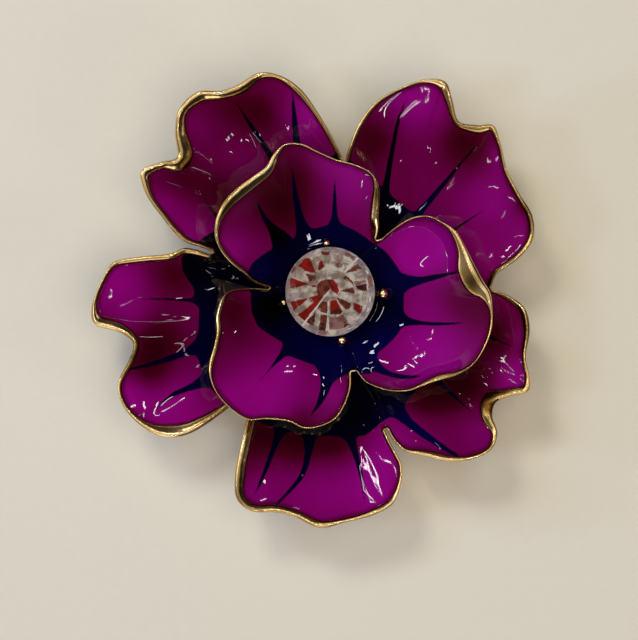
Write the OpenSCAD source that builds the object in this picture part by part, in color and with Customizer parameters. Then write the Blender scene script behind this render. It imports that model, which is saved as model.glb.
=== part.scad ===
// Enamel flower brooch, lying face up on its pin.
// Millimetres. The origin is on the surface it lies on, under the middle of its box.
// Turns are in degrees round the flower's axis, anticlockwise from +X.

/* [Castings] */
// Thickness of a petal's metal under its enamel
plate_t = 0.85; // [0.6:0.05:1.1]
// Depth of the enamel
glaze_t = 0.35; // [0.2:0.05:0.4]
// Clearance between the enamel and its metal, and in each soldered joint
seat_gap = 0.06; // [0.03:0.01:0.07]
// Height of the lower flower's tray at its hub
outer_hub_z = 6.1; // [5.8:0.1:6.4]
// Height of the upper flower's tray at its hub
inner_hub_z = 8; // [7.8:0.1:8.2]
// How late the outer petals turn up, 1 for a straight cone
outer_cup = 1.7; // [1.2:0.1:2.2]
// How late the inner petals turn up
inner_cup = 1.5; // [1.2:0.1:2]
// Depth of the valleys that the dark veins lie in
vein_dip = 0.35; // [0:0.05:0.45]

/* [Stone and setting] */
// Width of the round stone
stone_w = 10; // [9:0.5:10]
// Width of the stone's table
table_w = 4.6; // [2.6:0.2:5.4]
// Height of the stone's girdle over the surface
girdle_z = 10.7; // [10.6:0.1:11]
// Height of the crown over the girdle
crown_h = 1.5; // [0.8:0.1:1.8]
// Depth of the pointed back below the girdle
pavilion_h = 2; // [1.6:0.1:2]
// Facets in each row of the stone
facets = 16; // [8:2:20]
// Width of a claw's wire
claw_wire = 0.6; // [0.5:0.05:0.7]

/* [Pin back] */
// Length of the bar
bar_l = 30; // [26:1:32]
// Width of the bar and of what stands under it
bar_w = 4.8; // [4.4:0.2:5.2]
// Thickness of the bar
bar_t = 0.85; // [0.7:0.05:0.9]
// Width of the pin's stem
stem_d = 0.9; // [0.8:0.05:1]
// Height of the stem's middle over the surface
stem_z = 1.7; // [1.5:0.1:1.9]
// Length of the hinge block and of the catch along the bar
block_l = 3.4; // [3:0.2:4]

/* [Hidden] */
$fn = 48;
gold = [0.8, 0.62, 0.34];
magenta = [0.45, 0, 0.4];
// The flower's axis, off the middle of the box as the petals are uneven
axis_at = [1.97, 0.95];
// The enamel is held this far over its tray, and its edge ends this far under the rim's crest
glaze_up = 0.17;
crest_up = 0.14;
// Depth of the tray under the crest
tray_d = glaze_t + glaze_up + crest_up;
// Lines along a petal's bare lip, from the enamel out: share of the lip outside, depth under the crest
lip_lines = [[1, 0.08], [0.5, 0], [0.15, 0.08], [0, 0.45]];
// A lip wider than this slopes down inwards, by this share of the extra width
wide_lip = 0.55;
lip_slope = 0.55;
// The outer part of every lip that stays level, as a share of its width
lip_level = 0.25;
// Columns of points for each gap between two rows of a petal's table
steps = 2;
// Rows of points from the hub out to the rim, and on the underside
tray_rows = [0, 0.4, 0.75, 1];
under_rows = [1, 0.5, 0];
// A petal's roots start this far inside its turns, and its columns run this far straight out
root_in = 2;
lead_out = 0.6;
// Radius of the flat hub, of the foot between the castings, and of the holes in the enamel
outer_hub_r = 8;
inner_hub_r = 5.7;
foot_r = 4;
cup_base_r = 3.6;
// Inset of a casting's lower edge
edge_in = 0.3;
// Straight band round the stone's girdle
girdle_t = 0.2;
// The crown's inner row of corners, as shares of the stone's width and of the crown's height
crown_row_w = 0.78;
crown_row_h = 0.72;
// Wall of the cup that the stone sits in, and how far the cup stays under the girdle
cup_wall = 0.4;
cup_down = 0.45;
cup_base_h = 0.8;
// The claws' balls stay this far under the girdle
ball_down = 0.62;
// Underside of the bar, and how far the bar reaches past the hinge and the catch
bar_z = outer_hub_z - plate_t - seat_gap - bar_t;
bar_past = 1.4;
// Rounding under the hinge and the catch, and room round the stem in the catch
block_round = 0.6;
catch_room = 0.2;
// The hinge's two ears and the barrel between them
ear_t = 1.2;
barrel_d = 2.2;
// The stem's point
point_l = 2;
point_d = 0.2;

// Rims of the petals as seen from above, one row for each bend of the edge:
// turn, reach from the axis, height of the crest, width of the bare metal lip.
TURN = 0;
REACH = 1;
CREST = 2;
LIP = 3;
upper_right = [
    [1.8, 18.3, 7.9, 0.54], [6.3, 19.1, 8.5, 0.48], [10.1, 21.6, 9.1, 0.48], [14.6, 23.6, 9.5, 0.54],
    [20.5, 24.3, 9.8, 0.6], [27.4, 24, 9.7, 0.48], [34.6, 24.2, 9.6, 0.38], [41.4, 25.5, 9.8, 0.38],
    [45.6, 26.2, 9.8, 0.65], [48.7, 25, 9.4, 0.93], [53.1, 24.1, 9.2, 0.54], [57.7, 25.7, 9.7, 0.76],
    [61.2, 26.9, 10.3, 0.98], [65.7, 26.2, 10.4, 0.48], [70.8, 24.3, 10.2, 0.32], [76.3, 22.1, 9.6, 0.43],
    [80.3, 19.3, 8.8, 0.48], [82.7, 16.4, 8, 0.48], [83.5, 14.9, 7.6, 0.48]
];
upper_left = [
    [84.9, 15.4, 7.5, 0.43], [88.3, 17.1, 8, 0.43], [93.5, 20.1, 8.7, 0.48], [98, 23, 9.2, 0.65],
    [103, 25, 9.6, 0.48], [108, 25.9, 9.8, 0.76], [113.7, 25.5, 9.9, 1.09], [118.5, 25.7, 10.2, 0.93],
    [123.5, 26.9, 10.6, 1.2], [129.5, 26.6, 10.6, 0.98], [134, 25.1, 10, 1.2], [138.4, 23, 9.4, 1.64],
    [142.5, 24, 9.6, 0.76], [147.4, 25.2, 9.8, 1.09], [152, 23.5, 9.4, 0.65], [156, 20.8, 8.8, 0.54],
    [160.8, 17.6, 8.1, 0.54], [160.9, 15.5, 7.7, 0.43], [161.1, 14, 7.4, 0.43]
];
left = [
    [162.6, 14.2, 8.2, 0.48], [162.4, 15.6, 8.6, 0.6], [163.2, 17.2, 8.9, 0.65], [166.7, 18.7, 9.2, 0.65],
    [169.7, 22, 9.5, 0.6], [172.2, 24.6, 9.7, 0.54], [177.3, 25.8, 9.6, 0.38], [183.5, 26.9, 9.2, 0.54],
    [187.8, 26.8, 8.8, 1.2], [190.6, 24.4, 8.5, 1], [194.4, 23, 8.4, 0.65], [198.5, 23.9, 8.7, 0.6],
    [203.3, 26, 9.2, 0.43], [208.7, 26.6, 9.5, 0.43], [215.1, 26.1, 9.6, 0.65], [221, 24.9, 9.4, 1.31],
    [225.3, 22.6, 8.9, 1.31], [228, 18.8, 8.2, 0.76], [230.5, 15, 7.5, 0.54]
];
bottom = [
    [234.5, 14.6, 7.5, 0.54], [236.8, 17.2, 8.2, 0.98], [239.7, 20, 9, 1.04], [242.6, 23.2, 9.6, 1.04],
    [245.7, 25.5, 9.8, 0.87], [250.3, 26.2, 9.6, 0.76], [255.9, 25.6, 9.2, 0.76], [261, 25.65, 9.1, 0.65],
    [267.6, 26.6, 9.4, 0.76], [274, 26, 9.3, 0.43], [281.3, 25.6, 9.3, 0.6], [286.8, 24.8, 9.5, 0.54],
    [290.7, 22.8, 9.2, 0.35], [292.5, 21.1, 8.6, 0.3], [292.3, 19.7, 8.1, 0.3], [291.8, 18.2, 7.8, 0.3],
    [291.5, 16.8, 7.5, 0.3]
];
lower_right = [
    [292.8, 16.8, 8.2, 0.25], [293.2, 18.2, 8.7, 0.3], [295.2, 19.8, 9.1, 0.35],
    [300.3, 21.5, 9.2, 0.65], [304.9, 23.3, 9.3, 0.65], [310.1, 24.7, 9.3, 0.43],
    [315.5, 25.4, 9.3, 0.43], [319.9, 24.7, 9, 0.65], [322.5, 23.1, 8.7, 1.15], [326, 22.5, 8.6, 1.45],
    [329.4, 23.3, 8.9, 0.87], [333.2, 24.9, 9.4, 0.76], [336.6, 24.5, 9.5, 0.48], [341.9, 23.2, 9.4, 0.43],
    [349.3, 22.9, 9.2, 0.65], [355.4, 22, 8.8, 0.65], [359.4, 19.8, 8.2, 0.43], [360.7, 18.4, 7.9, 0.32]
];
inner_left = [
    [48.5, 7.9, 8.9, 0.5], [52.1, 9, 9.6, 0.8], [57.3, 10.1, 10.4, 0.9], [61.5, 11.7, 11.3, 0.85],
    [65.5, 13.1, 12, 0.55], [71, 14, 12.5, 0.2], [79.4, 14.4, 12.6, 0.15], [87.5, 14.7, 12.6, 0.15],
    [95, 15.6, 12.8, 0.15], [101, 16.7, 13.1, 0.2], [107, 17.1, 13.3, 0.25], [112, 16.6, 13.3, 0.6],
    [117.5, 15.6, 13.3, 1], [124.7, 15.4, 13.5, 1.15], [133, 15.45, 13.6, 1.2], [141, 15.4, 13.6, 1],
    [148.8, 14.9, 13.4, 0.6], [156, 13.9, 13, 0.4], [162.3, 12.2, 12.2, 0.4], [168, 9.9, 10.9, 0.35],
    [172.3, 8.7, 9.9, 0.3], [174.6, 7.6, 9.2, 0.3], [175.6, 6.8, 8.75, 0.25]
];
inner_low = [
    [177.4, 7, 8.75, 0.2], [177.2, 8.8, 9.4, 0.2], [179.4, 11.2, 10.6, 0.15],
    [184, 12.2, 11.5, 0.45], [191.9, 13, 12.1, 0.5], [199, 13.4, 12.3, 0.55], [205, 14.3, 12.6, 0.5], [210.9, 15.7, 12.9, 0.45], [216, 16.5, 13, 0.3],
    [222, 16.95, 13, 0.2], [230, 17.1, 12.9, 0.2], [237.4, 16.9, 12.8, 0.2], [244, 15.8, 12.5, 0.25],
    [252, 15.2, 12.3, 0.25], [259.3, 15.5, 12.3, 0.25], [266.6, 15, 12.1, 0.2], [273, 14.1, 11.7, 0.25],
    [278.2, 12.6, 11, 0.3], [282.5, 11, 10.1, 0.35], [284.9, 9.4, 9.2, 0.4]
];
inner_right = [
    [288.6, 9.4, 9.2, 0.15], [291.3, 10.8, 9.9, 0.15], [296, 11.9, 10.7, 0.15], [302, 13.1, 11.4, 0.15],
    [308.3, 14.1, 11.9, 0.2], [315.8, 14.9, 12.2, 0.4], [321.4, 15.8, 12.5, 0.6], [327, 17, 12.8, 0.4],
    [333, 17.85, 13, 0.2], [340, 18.25, 13.1, 0.2], [347.2, 18.4, 13.2, 0.3], [354, 18.1, 13.3, 0.4],
    [359.5, 17.75, 13.4, 1.3], [364.6, 16.9, 13.5, 2], [371, 16.25, 13.5, 1.9], [378, 15.85, 13.4, 1],
    [386, 15.5, 13.2, 0.6], [392.3, 14.6, 12.9, 0.2], [398, 13.7, 12.5, 0.15], [402.5, 12.2, 11.7, 0.25],
    [404.8, 10.4, 10.6, 0.25], [406.3, 8.3, 9.2, 0.25]
];
// Claws as they are bent on this brooch: turn and reach of the ball from the stone's middle, its width
BALL = 2;
claws = [[-2, 6, 1.1], [94, 5.45, 0.8], [193, 5.3, 0.7], [284, 5.6, 1]];
outer_flower = [upper_right, upper_left, left, bottom, lower_right];
inner_flower = [inner_left, inner_low, inner_right];

// Valleys along the veins: turn and reach at the inner end, turn and reach at the outer end
END_TURN = 2;
END_REACH = 3;
outer_veins = [
    [59.7, 10, 68.4, 23.3], [41.5, 10, 44.9, 23.2], [103, 10, 100.6, 22.8], [113.7, 10, 116.1, 23.4],
    [147, 11, 141, 20], [183.3, 11, 181.9, 21.3], [202.8, 10, 201, 24.4], [216, 12, 213.5, 24],
    [250.3, 11, 249.5, 24.3], [262, 11, 256, 24.8], [277.8, 11, 279.4, 24], [300.3, 11, 307.6, 23.1],
    [344.8, 11, 343.4, 21.5]
];
inner_veins = [
    [86.5, 7, 87.6, 12.4], [113.3, 7, 107, 14.2], [131.2, 8, 128.2, 13], [232, 9, 232.5, 14.5],
    [268.8, 7.5, 261.3, 13.6], [302, 8, 317, 13.7], [339.6, 8, 346.7, 15], [366.9, 8, 368.7, 13.7]
];
// Half-width of a valley
vein_spread = 1.2;
// Round hollows in the enamel of the inner petal on the right: place from the axis, radius, depth
RADIUS = 2;
DEPTH = 3;
inner_bowls = [[10.8, -7.6, 4, 1], [13, 6.4, 4, 1.3]];
outer_hollows = [outer_veins, []];
inner_hollows = [inner_veins, inner_bowls];

// Point at a turn and a reach from the axis
function spot(turn, reach) = [reach * cos(turn), reach * sin(turn)];

// Smooth curve from b to c through the rows a, b, c and d of a table
function eased(a, b, c, d, t) =
    0.5 * (2 * b + (c - a) * t + (2 * a - 5 * b + 4 * c - d) * t * t + (3 * b - a - 3 * c + d) * t * t * t);

// A petal's rim, in columns of: place, turn of the column's root on the hub, height of the crest, lip
PLACE = 0;
ROOT = 1;
function petal_rim(rows) =
    let (last = len(rows) - 1, count = last * steps)
    [
        for (i = [0:count])
            let (
                k = min(floor(i / steps), last - 1),
                t = i / steps - k,
                row = eased(rows[max(k - 1, 0)], rows[k], rows[k + 1], rows[min(k + 2, last)], t),
                first_root = rows[0][TURN] + root_in,
                last_root = rows[last][TURN] - root_in,
                root = first_root + (last_root - first_root) * i / count
            )
            [spot(row[TURN], row[REACH]), root, row[CREST], row[LIP]]
    ];
function flower_rim(petals) = [for (rows = petals) each petal_rim(rows)];

// Inward direction of each column, square to the rim
function inward(rim) =
    let (n = len(rim))
    [
        for (i = [0:n - 1])
            let (along = rim[(i + 1) % n][PLACE] - rim[(i + n - 1) % n][PLACE])
            [-along[1], along[0]] / norm(along)
    ];

// Distance from point p to the straight vein
function vein_way(p, vein) =
    let (
        a = spot(vein[TURN], vein[REACH]),
        ab = spot(vein[END_TURN], vein[END_REACH]) - a,
        t = min(1, max(0, (p - a) * ab / (ab * ab)))
    )
    norm(p - a - ab * t);
function bowl_depth(p, bowl) =
    let (way = norm(p - [bowl[0], bowl[1]]) / bowl[RADIUS])
    bowl[DEPTH] * exp(-way * way);
// Depth of a petal's hollows at point p, which fade towards its root and its rim
function dip(p, hollows, f) =
    let (
        veins = hollows[0],
        bowls = hollows[1],
        fade = sin(180 * pow(f, 1.5)),
        bowl_dip = len(bowls) == 0 ? 0 : max([for (bowl = bowls) bowl_depth(p, bowl)])
    )
    fade * vein_dip * max([for (vein = veins) exp(-pow(vein_way(p, vein) / vein_spread, 2))])
        + min(1, 1.6 * fade) * bowl_dip;
// How far the inner edge of a lip lies under its crest where the lip is wide
function lip_sink(lip) = lip_slope * max(0, lip - wide_lip);

// Point of a petal at share f of the way from its root to the rim, set in from the rim.
// It leaves the hub straight out and bends to its place on the rim, as a leaf's veins do.
function petal_point(column, way_in, set_in, f, hub_r, hub_z, cup, hollows, up) =
    let (
        end = column[PLACE] + way_in * set_in,
        start = spot(column[ROOT], hub_r),
        lead = spot(column[ROOT], hub_r + lead_out * (norm(end) - hub_r)),
        p = start * (1 - f) * (1 - f) + lead * 2 * f * (1 - f) + end * f * f,
        rise = column[CREST] - lip_sink(column[LIP]) - tray_d - hub_z,
        z = hub_z + rise * pow(f, cup) - dip(p, hollows, f)
    )
    [p[0], p[1], z + up];

// One ring of points over all the columns, set in from the rim by a share of the lip and a bit more
function petal_ring(rim, ways, share, more, f, hub_r, hub_z, cup, hollows, up) =
    [
        for (i = [0:len(rim) - 1])
            let (set_in = rim[i][LIP] * share + (f < 1 ? 0 : more))
            petal_point(rim[i], ways[i], set_in, f, hub_r, hub_z, cup, hollows, up)
    ];
// One ring along the bare lip
function lip_ring(rim, ways, share, down) =
    [
        for (i = [0:len(rim) - 1])
            let (
                p = rim[i][PLACE] + ways[i] * rim[i][LIP] * share,
                slope = lip_sink(rim[i][LIP]) * max(0, share - lip_level) / (1 - lip_level)
            )
            [p[0], p[1], rim[i][CREST] - down - slope]
    ];
function flat_ring(rim, r, z) = [for (column = rim) let (p = spot(column[ROOT], r)) [p[0], p[1], z]];

// Closed skin over rings of equal length. Ends are closed by a point each, or joined to one another.
module skin(rings, ends = []) {
    n = len(rings[0]);
    m = len(rings);
    pairs = len(ends) == 2 ? m - 1 : m;
    points = [for (ring = rings) each ring, each ends];
    sides = [
        for (j = [0:pairs - 1], i = [0:n - 1])
            let (a = j * n + i, b = j * n + (i + 1) % n, c = ((j + 1) % m) * n + i)
            let (d = ((j + 1) % m) * n + (i + 1) % n)
            each [[a, b, d], [a, d, c]]
    ];
    caps = len(ends) < 2 ? [] : [
        for (i = [0:n - 1])
            each [[m * n, (i + 1) % n, i], [m * n + 1, (m - 1) * n + i, (m - 1) * n + (i + 1) % n]]
    ];
    polyhedron(points, concat(sides, caps));
}

// A casting: tray, raised lip and underside, with a foot of radius base_r down to base_z
module casting(petals, hub_r, hub_z, cup, hollows, base_r, base_z) {
    rim = flower_rim(petals);
    ways = inward(rim);
    tray = [
        for (f = tray_rows)
            petal_ring(rim, ways, 1, 0, f, hub_r, hub_z, cup, hollows, 0)
    ];
    lip = [for (line = lip_lines) lip_ring(rim, ways, line[0], line[1])];
    under = [
        for (f = under_rows)
            petal_ring(rim, ways, 0, edge_in, f, hub_r, hub_z, cup, hollows, -plate_t)
    ];
    foot = base_z < hub_z - plate_t
        ? [flat_ring(rim, base_r, hub_z - plate_t), flat_ring(rim, base_r, base_z)]
        : [];
    translate([axis_at[0], axis_at[1], 0])
        skin(concat(tray, lip, under, foot), [[0, 0, hub_z], [0, 0, min(base_z, hub_z - plate_t)]]);
}

// The enamel in a casting's tray, with a round hole for what stands on the hub
module enamel(petals, hub_r, hub_z, cup, hollows, hole_r) {
    rim = flower_rim(petals);
    ways = inward(rim);
    top = [
        for (f = tray_rows)
            petal_ring(rim, ways, 1, seat_gap, f, hub_r, hub_z, cup, hollows, glaze_up + glaze_t)
    ];
    under = [
        for (i = [len(tray_rows) - 1:-1:0])
            petal_ring(rim, ways, 1, seat_gap, tray_rows[i], hub_r, hub_z, cup, hollows, glaze_up)
    ];
    hole = [
        flat_ring(rim, hole_r, hub_z + glaze_up),
        flat_ring(rim, hole_r, hub_z + glaze_up + glaze_t)
    ];
    translate([axis_at[0], axis_at[1], 0])
        skin(concat(top, under, hole));
}

// Outline of a block under the bar, seen along the bar or across it, with rounded lower corners
module block_outline(w) {
    translate([-w / 2, block_round])
        square([w, bar_z - block_round]);
    translate([-w / 2 + block_round, 0])
        square([w - 2 * block_round, bar_z]);
    for (side = [-1, 1])
        translate([side * (w / 2 - block_round), block_round])
            circle(r = block_round);
}

module pin_back() {
    end_x = bar_l / 2 - bar_w / 2;
    hinge_x = bar_l / 2 - bar_past - block_l / 2;
    catch_x = -hinge_x;
    color(gold)
    translate([axis_at[0], axis_at[1], 0]) {
        translate([0, 0, bar_z]) {
            translate([-end_x, -bar_w / 2, 0])
                cube([2 * end_x, bar_w, bar_t]);
            for (side = [-1, 1])
                translate([side * end_x, 0, 0])
                    cylinder(d = bar_w, h = bar_t);
        }
        for (side = [-1, 1])
            translate([hinge_x, side * (bar_w - ear_t) / 2 + ear_t / 2, 0])
                rotate([90, 0, 0])
                    linear_extrude(ear_t)
                        block_outline(block_l);
        translate([hinge_x, 0, stem_z])
            rotate([90, 0, 0])
                cylinder(d = barrel_d, h = bar_w - ear_t, center = true);
        translate([catch_x - block_l / 2 + point_l / 2, 0, stem_z])
            rotate([0, 90, 0])
                cylinder(d = stem_d, h = hinge_x - catch_x + block_l / 2 - point_l / 2);
        translate([catch_x - block_l / 2 - point_l / 2, 0, stem_z])
            rotate([0, 90, 0])
                cylinder(d1 = point_d, d2 = stem_d, h = point_l);
        translate([catch_x - block_l / 2, 0, 0])
            rotate([90, 0, 90])
                linear_extrude(block_l)
                    difference() {
                        block_outline(bar_w);
                        translate([0, stem_z])
                            circle(d = stem_d + 2 * catch_room);
                        translate([0, stem_z - stem_d / 2 - catch_room / 2])
                            square([bar_w, stem_d + catch_room]);
                    }
    }
}

module outer_petals() {
    color(gold)
        casting(outer_flower, outer_hub_r, outer_hub_z, outer_cup, outer_hollows, foot_r, outer_hub_z);
}

module outer_enamel() {
    color(magenta)
        enamel(outer_flower, outer_hub_r, outer_hub_z, outer_cup, outer_hollows, foot_r + seat_gap);
}

module inner_petals() {
    foot_z = outer_hub_z + seat_gap;
    color(gold)
        casting(inner_flower, inner_hub_r, inner_hub_z, inner_cup, inner_hollows, foot_r, foot_z);
}

module inner_enamel() {
    color(magenta)
        enamel(inner_flower, inner_hub_r, inner_hub_z, inner_cup, inner_hollows, cup_base_r + seat_gap);
}

// Cup under the stone, and claws that rise from it to balls beside the girdle
module setting() {
    base_z = inner_hub_z + seat_gap;
    rim_z = girdle_z - girdle_t / 2 - cup_down;
    back_slope = stone_w / 2 / pavilion_h;
    culet_z = girdle_z - girdle_t / 2 - pavilion_h;
    seat_r = (rim_z - culet_z + 2 * seat_gap) * back_slope;
    ball_z = girdle_z - ball_down;
    color(gold)
    translate([axis_at[0], axis_at[1], 0]) {
        rotate_extrude()
            polygon([
                [0, base_z], [cup_base_r, base_z], [cup_base_r, base_z + cup_base_h],
                [seat_r + cup_wall, rim_z], [seat_r, rim_z], [0, culet_z - 2 * seat_gap]
            ]);
        for (claw = claws) {
            reach = claw[REACH] - cup_base_r + claw_wire / 2;
            rise = ball_z - base_z - cup_base_h;
            rotate([0, 0, claw[TURN]]) {
                translate([claw[REACH], 0, ball_z])
                    sphere(d = claw[BALL]);
                translate([cup_base_r - claw_wire / 2, 0, base_z + cup_base_h])
                    rotate([0, atan2(reach, rise), 0])
                        cylinder(d = claw_wire, h = norm([reach, rise]));
            }
        }
    }
}

module stone() {
    function facet_ring(r, z, half) =
        [for (i = [0:facets - 1]) let (p = spot((i + half) * 360 / facets, r)) [p[0], p[1], z]];
    top_z = girdle_z + girdle_t / 2 + crown_h;
    low_z = girdle_z - girdle_t / 2;
    row_z = girdle_z + girdle_t / 2 + crown_h * crown_row_h;
    color([0.9, 0.85, 0.88])
    translate([axis_at[0], axis_at[1], 0])
        skin(
            [
                facet_ring(table_w / 2, top_z, 0),
                facet_ring(stone_w / 2 * crown_row_w, row_z, 0.5),
                facet_ring(stone_w / 2, girdle_z + girdle_t / 2, 0),
                facet_ring(stone_w / 2, low_z, 0)
            ],
            [[0, 0, top_z], [0, 0, low_z - pavilion_h]]
        );
}

pin_back();
outer_petals();
outer_enamel();
inner_petals();
inner_enamel();
setting();
stone();
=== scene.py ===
import math
import bpy
import numpy as np
from mathutils import Matrix, Vector
from mathutils.bvhtree import BVHTree
from mathutils.interpolate import poly_3d_calc


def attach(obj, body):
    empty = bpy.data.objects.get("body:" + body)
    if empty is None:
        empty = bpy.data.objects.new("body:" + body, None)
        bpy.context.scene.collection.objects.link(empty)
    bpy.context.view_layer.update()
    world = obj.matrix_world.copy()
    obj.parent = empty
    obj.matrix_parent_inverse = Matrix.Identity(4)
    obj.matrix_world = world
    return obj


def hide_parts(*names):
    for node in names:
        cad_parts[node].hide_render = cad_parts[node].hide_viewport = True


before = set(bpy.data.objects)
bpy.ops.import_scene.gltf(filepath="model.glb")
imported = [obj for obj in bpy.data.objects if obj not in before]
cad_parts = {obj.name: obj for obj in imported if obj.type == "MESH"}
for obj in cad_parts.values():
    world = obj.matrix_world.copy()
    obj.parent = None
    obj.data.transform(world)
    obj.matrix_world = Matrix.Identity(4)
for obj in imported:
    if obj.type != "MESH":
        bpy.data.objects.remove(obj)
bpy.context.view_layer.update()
mm = 0.001  # everything below is worked out in millimetres round the flower's axis

# the flower's measures, as in the solids
flower = {
    "axis": (1.97, 0.95),
    "glazeDepth": 0.35,  # the enamel
    "glazeLift": 0.17,  # enamel over its tray
    "crestOverGlaze": 0.14,
    "sideGap": 0.06,  # between the enamel and the lip round it
    "plate": 0.85,  # the metal under a tray
    "rootIn": 2.0,  # degrees by which each side of a petal draws in at its root
    "leadOut": 0.6,  # how far out a line from hub to rim keeps its direction
    "humpOut": 1.5,  # over 1 the veins' valleys are deepest nearer the rim
    "bowlFade": 1.6,  # how soon the softer hollows reach their full depth
    "seamShare": 0.01,  # of a column's width, left open between the enamel of two petals
}
flower["trayDepth"] = flower["glazeDepth"] + flower["glazeLift"] + flower["crestOverGlaze"]

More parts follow.
